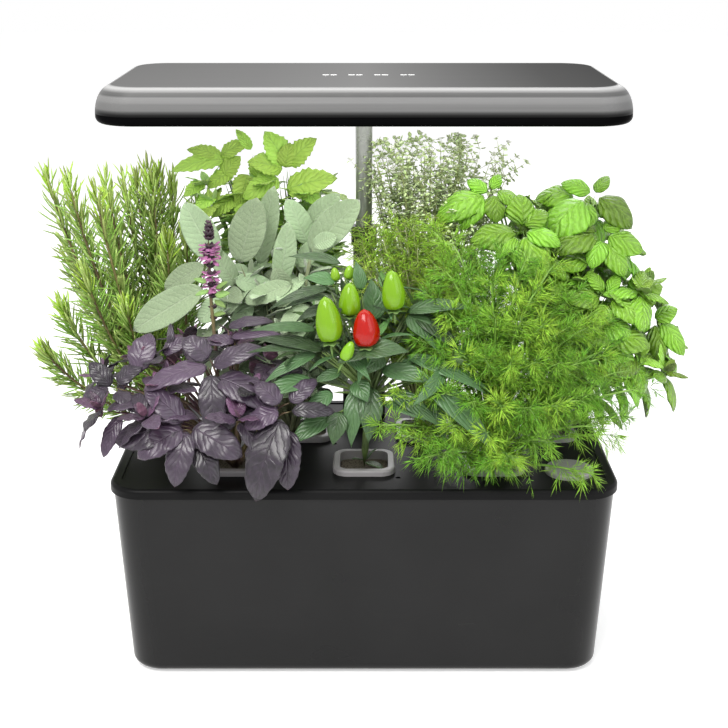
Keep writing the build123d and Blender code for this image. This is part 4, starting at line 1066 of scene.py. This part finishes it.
def fruit_bodies(bodies, base, tip, radius, rng):
    """
    Pods: rings along base to tip with radius r sin(pi u^squeeze)^0.5 and five shallow lobes, 1 + 0.05 cos 5q.
    """
    squeeze = 0.64
    base, tip = mm(base), mm(tip)
    u = np.linspace(0, 1, 14)[1:-1]
    q = full_turn(15)
    a, b = side_frame(unit(tip - base))
    belly = np.sin(np.pi * u ** squeeze) ** 0.5
    girth = mm(radius)[:, None, None] * belly[None, :, None] * (1 + 0.05 * np.cos(5 * q))[None, None]
    middle = base[:, None] + (tip - base)[:, None] * u[None, :, None]
    rings = middle[:, :, None] + girth[..., None] * spokes(a[:, None], b[:, None], q)
    bodies.add(base, rings, tip, u, q / (2 * np.pi), leaf_values(rings.shape, rng.random(len(base))))


def make_fruit(rng):
    """
    Green, red and unripe pods, each on a calyx of five lobes and a short stalk.

    A group holds its pods' bases, tips and radii in millimetres, and the colours of skin and blush.
    """
    groups = {
        "pepper_pods_green": (((21, -66, 272), (-10, -66, 268), (-23, -80, 253)),
                              ((19, -66, 301), (-10, -66, 292), (-27, -80, 286)), (8.2, 7.6, 9.2),
                              (0.18, 0.34, 0.008), (0.38, 0.42, 0.02)),
        "pepper_pod_red": (((2, -80, 250),), ((0, -80, 277),), (9.4,), (0.44, 0.032, 0.0), (0.60, 0.14, 0.0)),
        "pepper_pods_small": (((-14, -86, 242), (-20, -50, 289), (-11, -48, 290)),
                              ((-8, -88, 256), (-21, -50, 299), (-10, -48, 300)), (4.4, 3.4, 3.6),
                              (0.22, 0.42, 0.02), (0.36, 0.50, 0.04)),
    }
    stalks = Bodies()
    for name, (base, tip, radius, skin, blush) in groups.items():
        pods = Bodies()
        fruit_bodies(pods, base, tip, radius, rng)
        flesh = leaf_finish(name.replace("_", " ").capitalize(), skin, young=blush, under=skin, ribs=0,
                            variation=0.18, roughness=0.16, mottle=60.0)
        make_piece(pods, name, flesh, "pod_2")
        low, high = mm(base), mm(tip)
        axis = unit(high - low)
        stem = low[:, None] + axis[:, None] * mm((-12, -8, -4, 0.5))[None, :, None]
        add_tubes(stalks, stem, np.array((0.9, 0.9, 1.2, 1.6)) * MM)
        out = spokes(*side_frame(axis), full_turn(5)).reshape(-1, 3)
        main = np.repeat(axis, 5, axis=0)
        size = np.repeat(mm(radius), 5) * 0.75
        add_leaves(stalks, np.repeat(low, 5, axis=0) - main * 0.0004, unit(out + 0.25 * main),
                   -main + 0.2 * out, size, size * 0.5, -0.9, {"shape": oval(0.4), "thickness": 0.0004}, rng,
                   stations=5, around=6)
    make_piece(stalks, "pepper_calyxes", stem_finish("Calyx green", (0.16, 0.28, 0.07), (0.11, 0.19, 0.05)),
               "pod_2")


def frond_threads(stems, threads, start, middle, end, rng, thread, branches, per_branch, branch, first=0.36,
                  clear=(0, 0)):
    """
    Feathery fronds: side branches in pairs along each curved stem, and threads on every branch.

    The branches shorten from the share first of the stem to its end, and they sag. Each frond has an age of
    its own, and its threads grow younger towards its end. No branch has its root, its middle or its tip in
    the box clear.
    """
    girth = 0.00027
    share = np.linspace(first, 0.985, branches)
    points, tangents = bezier(start, middle, end, share)
    n = len(start)
    at = np.repeat(points.reshape(-1, 3), 2, axis=0)
    axis = np.repeat(tangents.reshape(-1, 3), 2, axis=0)
    s = np.tile(np.repeat(share, 2), n)
    turn = np.repeat(rng.random(n) * RANDOM_TURN, 2 * branches) + np.tile((0, np.pi), n * branches)
    turn = turn + rng.normal(0, 0.65, len(turn))
    heading, _ = around_axis(axis, turn, np.radians(52) + rng.normal(0, 0.2, len(turn)))
    heading = unit(heading - 0.12 * UP)
    length = branch * (1.08 - 0.75 * (s - first) / (1 - first)) * rng.uniform(0.7, 1.15, len(turn))
    sag = np.array((0, 0, -1.0)) * (length * 0.16)[:, None]
    tip = at + heading * length[:, None] + sag
    bend = at + heading * (length * 0.55)[:, None]
    age = np.clip(rng.normal(0.45, 0.35, n), 0, 1).repeat(2 * branches) * (0.6 + 0.4 * s)
    ends = np.stack((at, bend, tip))
    free = ~((ends > clear[0]) & (ends < clear[1])).all(-1).any(0)
    at, bend, tip, age = at[free], bend[free], tip[free], age[free]
    branch_points, _ = bezier(at, bend, tip, np.linspace(0, 1, 5))
    add_tubes(stems, branch_points, np.array((0.40, 0.36, 0.32, 0.28, 0.2)) * MM, around=3)
    places = np.linspace(0.18, 1.0, per_branch)
    thread_at, thread_axis = bezier(at, bend, tip, places)
    root, along = thread_at.reshape(-1, 3), thread_axis.reshape(-1, 3)
    local = np.tile(places, len(at))
    spin = rng.random(len(root)) * RANDOM_TURN
    way, _ = around_axis(along, spin, np.radians(46 - 30 * local) + rng.normal(0, 0.22, len(root)))
    size = thread * rng.uniform(0.65, 1.3, len(root))
    slivers(threads, root, way, size, girth, rng, age.repeat(per_branch)[:, None, None])


def dill(props):
    """Fine feathery fronds that arch out over the front right of the deck."""
    rng = np.random.default_rng(props.seed + 5)
    tips = mm(((10, -100, 199), (26, -96, 188), (40, -108, 178), (54, -110, 182), (90, -112, 176),
               (100, -112, 180), (84, -16, 284), (96, -14, 278), (106, -12, 268), (90, -18, 262),
               (100, -14, 250), (84, -28, 250), (112, -20, 256), (94, -10, 290), (104, -8, 238),
               (158, -108, 166), (178, -84, 186), (188, -72, 196), (206, -62, 214), (196, -56, 226),
               (47, -20, 322), (62, -24, 312), (80, -20, 306), (98, -24, 304), (118, -22, 300),
               (141, -20, 297), (56, -40, 296), (72, -44, 290), (90, -45, 288), (108, -48, 282),
               (124, -44, 282), (140, -40, 280), (156, -30, 276), (44, -50, 280), (58, -60, 270),
               (74, -64, 268), (92, -66, 266), (110, -66, 264), (128, -62, 262), (146, -58, 258),
               (162, -50, 256), (38, -70, 252), (52, -76, 246), (68, -80, 244), (84, -84, 242),
               (102, -84, 240), (120, -82, 240), (138, -78, 238), (156, -70, 236), (172, -60, 236),
               (184, -46, 240), (40, -88, 226), (56, -94, 220), (74, -98, 216), (94, -100, 214),
               (114, -100, 212), (134, -96, 212), (152, -90, 214), (168, -80, 216), (60, -104, 200),
               (84, -108, 196), (128, -108, 190), (164, -94, 196), (20, -84, 216), (170, -32, 262),
               (182, -24, 252)))
    foot = pod_foot(3)
    stems, threads = Bodies(), Bodies()
    start, middle, end = stems_to(stems, foot, tips, 0.0013, rng, rise=0.85, leaning=0.35)
    cap_low, cap_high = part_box("fill_cap")
    over_cap = (np.array(cap_low) - mm((8, 8, 20)), np.array(cap_high) + mm((8, 8, 26)))
    frond_threads(stems, threads, start, middle, end, rng, props.dill_thread, branches=15, per_branch=14,
                  branch=0.022, clear=over_cap)
    green = leaf_finish("Dill thread", props.dill_green, ribs=0, variation=0.5, roughness=0.45,
                        young=(0.40, 0.66, 0.06))
    make_piece(threads, "dill_threads", green, "pod_3", ("dill",))
    skin = stem_finish("Dill stem", (0.26, 0.46, 0.08), (0.18, 0.34, 0.06))
    make_piece(stems, "dill_stems", skin, "pod_3", ("dill",))


def oregano(props):
    """Airy thin stems with very small leaves, pale flowers at the tips, and a soft undergrowth in front."""
    rng = np.random.default_rng(props.seed + 6)
    top = mm(((2, 60, 356), (6, 60, 372), (15, 70, 373), (25, 60, 367), (37, 80, 369), (46, 60, 364),
              (53, 90, 369), (62, 70, 365), (73, 90, 367), (82, 80, 361), (92, 90, 362), (102, 90, 358),
              (110, 80, 353), (112, 70, 339), (6, 50, 337), (19, 60, 341), (65, 50, 343), (87, 60, 333),
              (41, 30, 339), (66, 104, 350), (30, 104, 345), (24, 90, 352), (92, 100, 345), (34, 50, 350),
              (56, 40, 344)))
    dome = golden_dome((57, 60, 292), (46, 54, 60), 60, (6, -9, 200), (110, 116, 362), -0.45, rng)
    beside = top + rng.normal(0, 0.008, top.shape)
    ends = np.clip(np.concatenate((top, beside, dome)), mm((0, -9, 180)), mm((114, 116, 368)))
    foot = pod_foot(6)
    stems, leaves, flowers = Bodies(), Bodies(), Bodies()
    start, middle, end = stems_to(stems, foot, ends, 0.0008, rng, rise=0.62, leaning=0.4)
    form = {"shape": oval(0.45), "cup": 0.2, "thickness": 0.0003}
    pairs_along(leaves, start, middle, end, np.linspace(0.42, 0.99, 14), props.oregano_leaf, form, rng,
                slim=0.62, spread=60, droop=0.4, stations=3, around=4)
    twig_at, twig_axis = bezier(start, middle, end, np.linspace(0.66, 0.98, 6))
    root, axis = twig_at.reshape(-1, 3), twig_axis.reshape(-1, 3)
    heading, _ = around_axis(axis, rng.random(len(root)) * RANDOM_TURN, 0.8)
    reach = rng.uniform(0.010, 0.020, len(root))[:, None]
    twig_end = np.minimum(root + (heading + 0.25 * UP) * reach, mm((200, 200, 370)))
    bend = root + heading * reach * 0.6
    twigs, _ = bezier(root, bend, twig_end, np.linspace(0, 1, 4))
    add_tubes(stems, twigs, np.array((0.35, 0.3, 0.3, 0.2)) * MM, around=3)
    pairs_along(leaves, root, bend, twig_end, (0.35, 0.65, 0.95), props.oregano_leaf * 0.85, form, rng,
                slim=0.65, stations=3, around=4)
    flowering, petal_turn = 0.318, 1.2566  # the height above which twigs flower, and a fifth of a turn
    high = twig_end[twig_end[:, 2] > flowering]
    turn = np.tile(np.arange(5) * petal_turn, len(high)) + np.repeat(rng.random(len(high)) * RANDOM_TURN, 5)
    axis = np.repeat(unit(rng.normal(0, 0.5, high.shape) + UP), 5, axis=0)
    heading, face = around_axis(axis, turn, 1.15)
    add_leaves(flowers, np.repeat(high, 5, axis=0), heading, face, 0.0026, 0.0010, 0.3,
               {"shape": oval(0.6), "thickness": 0.0002}, rng, stations=2, around=4)
    dome = golden_dome((34, 8, 268), (46, 17, 58), 60, (-12, -9, 198), (78, 24, 326), -0.6, rng)
    before_mast = mm(((-8, 8, 298), (0, 12, 312), (5, 4, 292), (-4, 16, 320), (9, 12, 304), (-10, 4, 284)))
    fluff = Bodies()
    fronds = stems_to(stems, foot, np.concatenate((dome, before_mast)), 0.0010, rng, rise=0.7, leaning=0.5)
    frond_threads(stems, fluff, *fronds, rng, props.dill_thread * 0.8, branches=11, per_branch=9,
                  branch=0.018, first=0.5)
    green = leaf_finish("Oregano leaf", props.oregano_green, ribs=0, variation=0.4, roughness=0.6,
                        under=(0.66, 0.76, 0.48), young=(0.66, 0.80, 0.44))
    make_piece(leaves, "oregano_leaves", green, "pod_6", ("oregano",))
    soft = leaf_finish("Oregano undergrowth", (0.40, 0.66, 0.06), ribs=0, variation=0.45,
                       young=(0.62, 0.84, 0.14))
    make_piece(fluff, "oregano_undergrowth", soft, "pod_6", ("oregano",))
    white = leaf_finish("Oregano flower", (0.78, 0.80, 0.72), under=(0.7, 0.74, 0.6), ribs=0, variation=0.12)
    make_piece(flowers, "oregano_flowers", white, "pod_6")
    skin = stem_finish("Oregano stem", (0.48, 0.55, 0.24), (0.36, 0.38, 0.17))
    make_piece(stems, "oregano_stems", skin, "pod_6", ("oregano",))


def sweet_basil(props):
    """Glossy cupped leaves in crossed pairs at several heights."""
    rng = np.random.default_rng(props.seed + 7)
    rows = ((90, 30, 334, 54, 22, 316, 26), (90, 28, 333, 72, 20, 310, 18), (97, 28, 335, 99, 18, 316, 20),
            (92, 32, 336, 78, 42, 344, 13), (100, 32, 337, 118, 26, 325, 15),
            (96, 36, 338, 103, 44, 348, 10), (113, 14, 309, 78, 8, 304, 25),
            (118, 18, 314, 116, 28, 336, 24), (120, 16, 314, 137, 22, 324, 18),
            (119, 12, 307, 131, -4, 277, 31), (121, 14, 310, 146, 6, 301, 19),
            (114, 12, 306, 98, 2, 292, 14), (166, 40, 329, 140, 26, 303, 37),
            (170, 38, 327, 168, 28, 310, 18), (172, 44, 334, 150, 50, 340, 15),
            (176, 44, 334, 187, 54, 345, 12), (178, 40, 331, 203, 34, 308, 25),
            (160, 48, 330, 132, 58, 326, 22), (176, 28, 304, 140, 16, 293, 24),
            (176, 30, 307, 148, 38, 312, 15), (179, 24, 301, 170, 12, 282, 17),
            (182, 30, 307, 195, 38, 315, 15), (184, 28, 304, 210, 20, 293, 23),
            (182, 24, 299, 196, 12, 276, 20), (170, 24, 288, 144, 20, 282, 20),
            (177, 8, 261, 152, 0, 259, 20), (186, 8, 260, 208, -2, 243, 22),
            (180, 10, 266, 168, 18, 279, 14), (184, 12, 264, 193, 20, 277, 11),
            (181, 4, 257, 171, -8, 242, 19), (206, 30, 257, 228, 26, 265, 29),
            (224, 30, 239, 241, 28, 247, 18), (229, 28, 236, 247, 22, 211, 18),
            (224, 28, 234, 229, 20, 205, 18), (220, 30, 239, 206, 26, 229, 15),
            (214, 30, 253, 206, 36, 271, 18), (187, 2, 232, 214, -6, 226, 25),
            (182, 0, 224, 203, -8, 203, 27), (180, 4, 243, 202, -4, 232, 23),
            (185, 4, 238, 165, -8, 228, 21))
    centres = mm(((178, 56, 312), (200, 48, 284), (140, 60, 312), (125, 92, 308), (160, 96, 302),
                  (198, 80, 286), (222, 66, 254), (218, 100, 232), (178, 104, 262), (140, 106, 256),
                  (150, 34, 284), (228, 10, 200), (204, 100, 204), (152, 8, 246), (118, 66, 284),
                  (236, 50, 214), (208, 16, 262), (164, 22, 268), (130, 26, 290), (206, 4, 214)))
    foot = pod_foot(7)
    stems, leaves = Bodies(), Bodies()
    start, middle, end = stems_to(stems, foot, centres, 0.0020, rng, rise=0.6, leaning=0.35)
    form = {"shape": oval(0.42, 0.52), "cup": 0.75, "fold": 0.34, "wave": 0.07, "ripples": 12,
            "thickness": 0.0004}
    shown = leaf_between(leaves, rows, (0.0, -0.55, 0.8), 1.4, form, rng, stations=13)
    stems_to(stems, foot, shown, 0.0013, rng, rise=0.7, leaning=0.5)
    outward = unit((centres - mm((160, 40, 235))) * np.array((1, 1, 0.5)) + UP * 0.05)
    axes = unit(outward + UP * 0.9)
    size = props.basil_leaf * 0.85
    rosettes(leaves, centres, axes, size, 4, form, rng, slim=0.62, stations=11, droop=1.2)
    pairs_along(leaves, start, middle, end, (0.55, 0.72, 0.87), size, form, rng, slim=0.6, stations=11,
                droop=1.1)
    green = leaf_finish("Sweet basil leaf", props.basil_green, young=(0.36, 0.60, 0.08),
                        under=(0.38, 0.54, 0.18), vein=(0.40, 0.62, 0.16), ribs=5, slant=2.4, midrib=0.06,
                        variation=0.6, roughness=0.28, quilt=1.5, vein_share=0.22, depth=0.0018,
                        specular=0.55)
    make_piece(leaves, "sweet_basil_leaves", green, "pod_7", ("sweet_basil",))
    skin = stem_finish("Sweet basil stem", (0.24, 0.42, 0.08), (0.16, 0.28, 0.06))
    make_piece(stems, "sweet_basil_stems", skin, "pod_7", ("sweet_basil",))


# ---------------------------------------------------------------- stage


def seen_directly(tree):
    """1 where the camera, a reflection or a transmission looks, 0 for light that only illuminates."""
    seen = node(tree, "LightPath").outputs
    mirrored = maths(tree, "MAXIMUM", seen["Is Glossy Ray"], seen["Is Transmission Ray"])
    return maths(tree, "MAXIMUM", seen["Is Camera Ray"], mirrored)


def make_stage(props):
    """Camera, soft light, white world and a pale floor."""
    scene = bpy.context.scene
    scene.view_settings.view_transform = "Standard"
    camera = bpy.data.objects.new("camera", bpy.data.cameras.new("camera"))
    scene.collection.objects.link(camera)
    camera.location = (0, -props.camera_back, props.camera_height)
    camera.rotation_euler = (np.radians(90) - props.camera_pitch, 0, 0)
    camera.data.lens = props.lens
    camera.data.sensor_width = 36
    scene.camera = camera
    for name, place, aim, size, power, colour in (
            ("key", (-0.5, -1.0, 1.5), (0, 0, 0.2), 0.9, props.key, (1, 0.985, 0.96)),
            ("fill", (1.1, -0.9, 0.9), (0, 0, 0.2), 1.1, props.key * 0.25, (0.97, 0.985, 1)),
            ("back", (0.2, 1.4, 1.2), (0, 0, 0.25), 1.1, props.key * 0.4, (1, 1, 1))):
        light = bpy.data.lights.new(name, "AREA")
        light.size, light.energy, light.color = size, power, colour
        lamp = bpy.data.objects.new(name, light)
        lamp.location = place
        lamp.rotation_euler = (Vector(aim) - Vector(place)).to_track_quat("-Z", "Y").to_euler()
        scene.collection.objects.link(lamp)
    world = bpy.data.worlds.new("soft white")
    scene.world = world
    world.use_nodes = True
    tree = world.node_tree
    strength = maths(tree, "MULTIPLY_ADD", seen_directly(tree), 1.0 - props.sky, props.sky)
    feed(tree, tree.nodes["Background"], {"Color": (1, 1, 1, 1), "Strength": strength})
    reach, glow = 6.0, 0.45  # the floor's half width, and its glow where it is seen directly
    mesh = bpy.data.meshes.new("floor")
    mesh.from_pydata([(-reach, -reach, 0), (reach, -reach, 0), (reach, reach, 0), (-reach, reach, 0)], [],
                     [(0, 1, 2, 3)])
    floor = bpy.data.objects.new("floor", mesh)
    scene.collection.objects.link(floor)
    material, tree, shader = new_material("Pale floor")
    feed(tree, shader, {"Base Color": (0.86, 0.86, 0.86, 1), "Roughness": 0.9, "Specular IOR Level": 0.1,
                        "Emission Color": (1, 1, 1, 1),
                        "Emission Strength": maths(tree, "MULTIPLY", seen_directly(tree), glow)})
    floor.data.materials.append(material)


# ---------------------------------------------------------------- the add-on


class GARDEN_OT_stage(bpy.types.Operator):
    """Make the camera, the lights and the floor"""
    bl_idname = "garden.stage"
    bl_label = "Stage"

    def execute(self, context):
        make_stage(context.scene.garden_stage)
        return {"FINISHED"}


class GARDEN_OT_housing(bpy.types.Operator):
    """Finish the tank, deck, mast, pump and baskets"""
    bl_idname = "garden.housing"
    bl_label = "Housing"

    def execute(self, context):
        finish_housing(context.scene.garden_finishes)
        return {"FINISHED"}


class GARDEN_OT_lamp(bpy.types.Operator):
    """Finish the lamp head and print its touch marks"""
    bl_idname = "garden.lamp"
    bl_label = "Lamp"

    def execute(self, context):
        finish_lamp(context.scene.garden_finishes)
        make_touch_marks(context.scene.garden_finishes)
        return {"FINISHED"}


class GARDEN_OT_rosemary(bpy.types.Operator):
    """Grow the rosemary in the left back pod"""
    bl_idname = "garden.rosemary"
    bl_label = "Rosemary"

    def execute(self, context):
        rosemary(context.scene.garden_plants)
        return {"FINISHED"}


class GARDEN_OT_sage(bpy.types.Operator):
    """Grow the sage in the second back pod"""
    bl_idname = "garden.sage"
    bl_label = "Sage"

    def execute(self, context):
        sage(context.scene.garden_plants)
        return {"FINISHED"}


class GARDEN_OT_mint(bpy.types.Operator):
    """Grow the mint behind the sage"""
    bl_idname = "garden.mint"
    bl_label = "Mint"

    def execute(self, context):
        mint(context.scene.garden_plants)
        return {"FINISHED"}


class GARDEN_OT_purple_basil(bpy.types.Operator):
    """Grow the purple basil and its flowering spike in the left front pod"""
    bl_idname = "garden.purple_basil"
    bl_label = "Purple basil"

    def execute(self, context):
        purple_basil(context.scene.garden_plants)
        return {"FINISHED"}


class GARDEN_OT_pepper(bpy.types.Operator):
    """Grow the pepper with its fruit in the middle front pod"""
    bl_idname = "garden.pepper"
    bl_label = "Pepper"

    def execute(self, context):
        pepper(context.scene.garden_plants)
        return {"FINISHED"}


class GARDEN_OT_dill(bpy.types.Operator):
    """Grow the dill in the right front pod"""
    bl_idname = "garden.dill"
    bl_label = "Dill"

    def execute(self, context):
        dill(context.scene.garden_plants)
        return {"FINISHED"}


class GARDEN_OT_oregano(bpy.types.Operator):
    """Grow the flowering oregano in the third back pod"""
    bl_idname = "garden.oregano"
    bl_label = "Oregano"

    def execute(self, context):
        oregano(context.scene.garden_plants)
        return {"FINISHED"}


class GARDEN_OT_sweet_basil(bpy.types.Operator):
    """Grow the sweet basil in the right back pod"""
    bl_idname = "garden.sweet_basil"
    bl_label = "Sweet basil"

    def execute(self, context):
        sweet_basil(context.scene.garden_plants)
        return {"FINISHED"}


STEPS = (GARDEN_OT_stage, GARDEN_OT_housing, GARDEN_OT_lamp, GARDEN_OT_rosemary, GARDEN_OT_sage,
         GARDEN_OT_mint, GARDEN_OT_purple_basil, GARDEN_OT_pepper, GARDEN_OT_dill, GARDEN_OT_oregano,
         GARDEN_OT_sweet_basil)


class GARDEN_PT_panel(bpy.types.Panel):
    """Sizes, colours and the steps that make the garden"""
    bl_label = "Countertop garden"
    bl_idname = "GARDEN_PT_panel"
    bl_space_type = "VIEW_3D"
    bl_region_type = "UI"
    bl_category = "Garden"

    def draw(self, context):
        for group in ("garden_plants", "garden_finishes", "garden_stage"):
            values = getattr(context.scene, group)
            box = self.layout.box()
            for name in values.__annotations__:
                box.prop(values, name)
        for step in STEPS:
            self.layout.operator(step.bl_idname)


GROUPS = {"garden_plants": GARDEN_PG_plants, "garden_finishes": GARDEN_PG_finishes,
          "garden_stage": GARDEN_PG_stage}


def register():
    """Registers the classes and hangs the property groups on the scene."""
    for made in (*GROUPS.values(), *STEPS, GARDEN_PT_panel):
        bpy.utils.register_class(made)
    for name, made in GROUPS.items():
        setattr(bpy.types.Scene, name, bpy.props.PointerProperty(type=made))


def unregister():
    """Takes the property groups and the classes away again."""
    for name in GROUPS:
        delattr(bpy.types.Scene, name)
    for made in reversed((*GROUPS.values(), *STEPS, GARDEN_PT_panel)):
        bpy.utils.unregister_class(made)


def main():
    """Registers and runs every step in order."""
    register()
    for step in STEPS:
        area, name = step.bl_idname.split(".")
        getattr(getattr(bpy.ops, area), name)()
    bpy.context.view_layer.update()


if __name__ == "__main__":
    main()
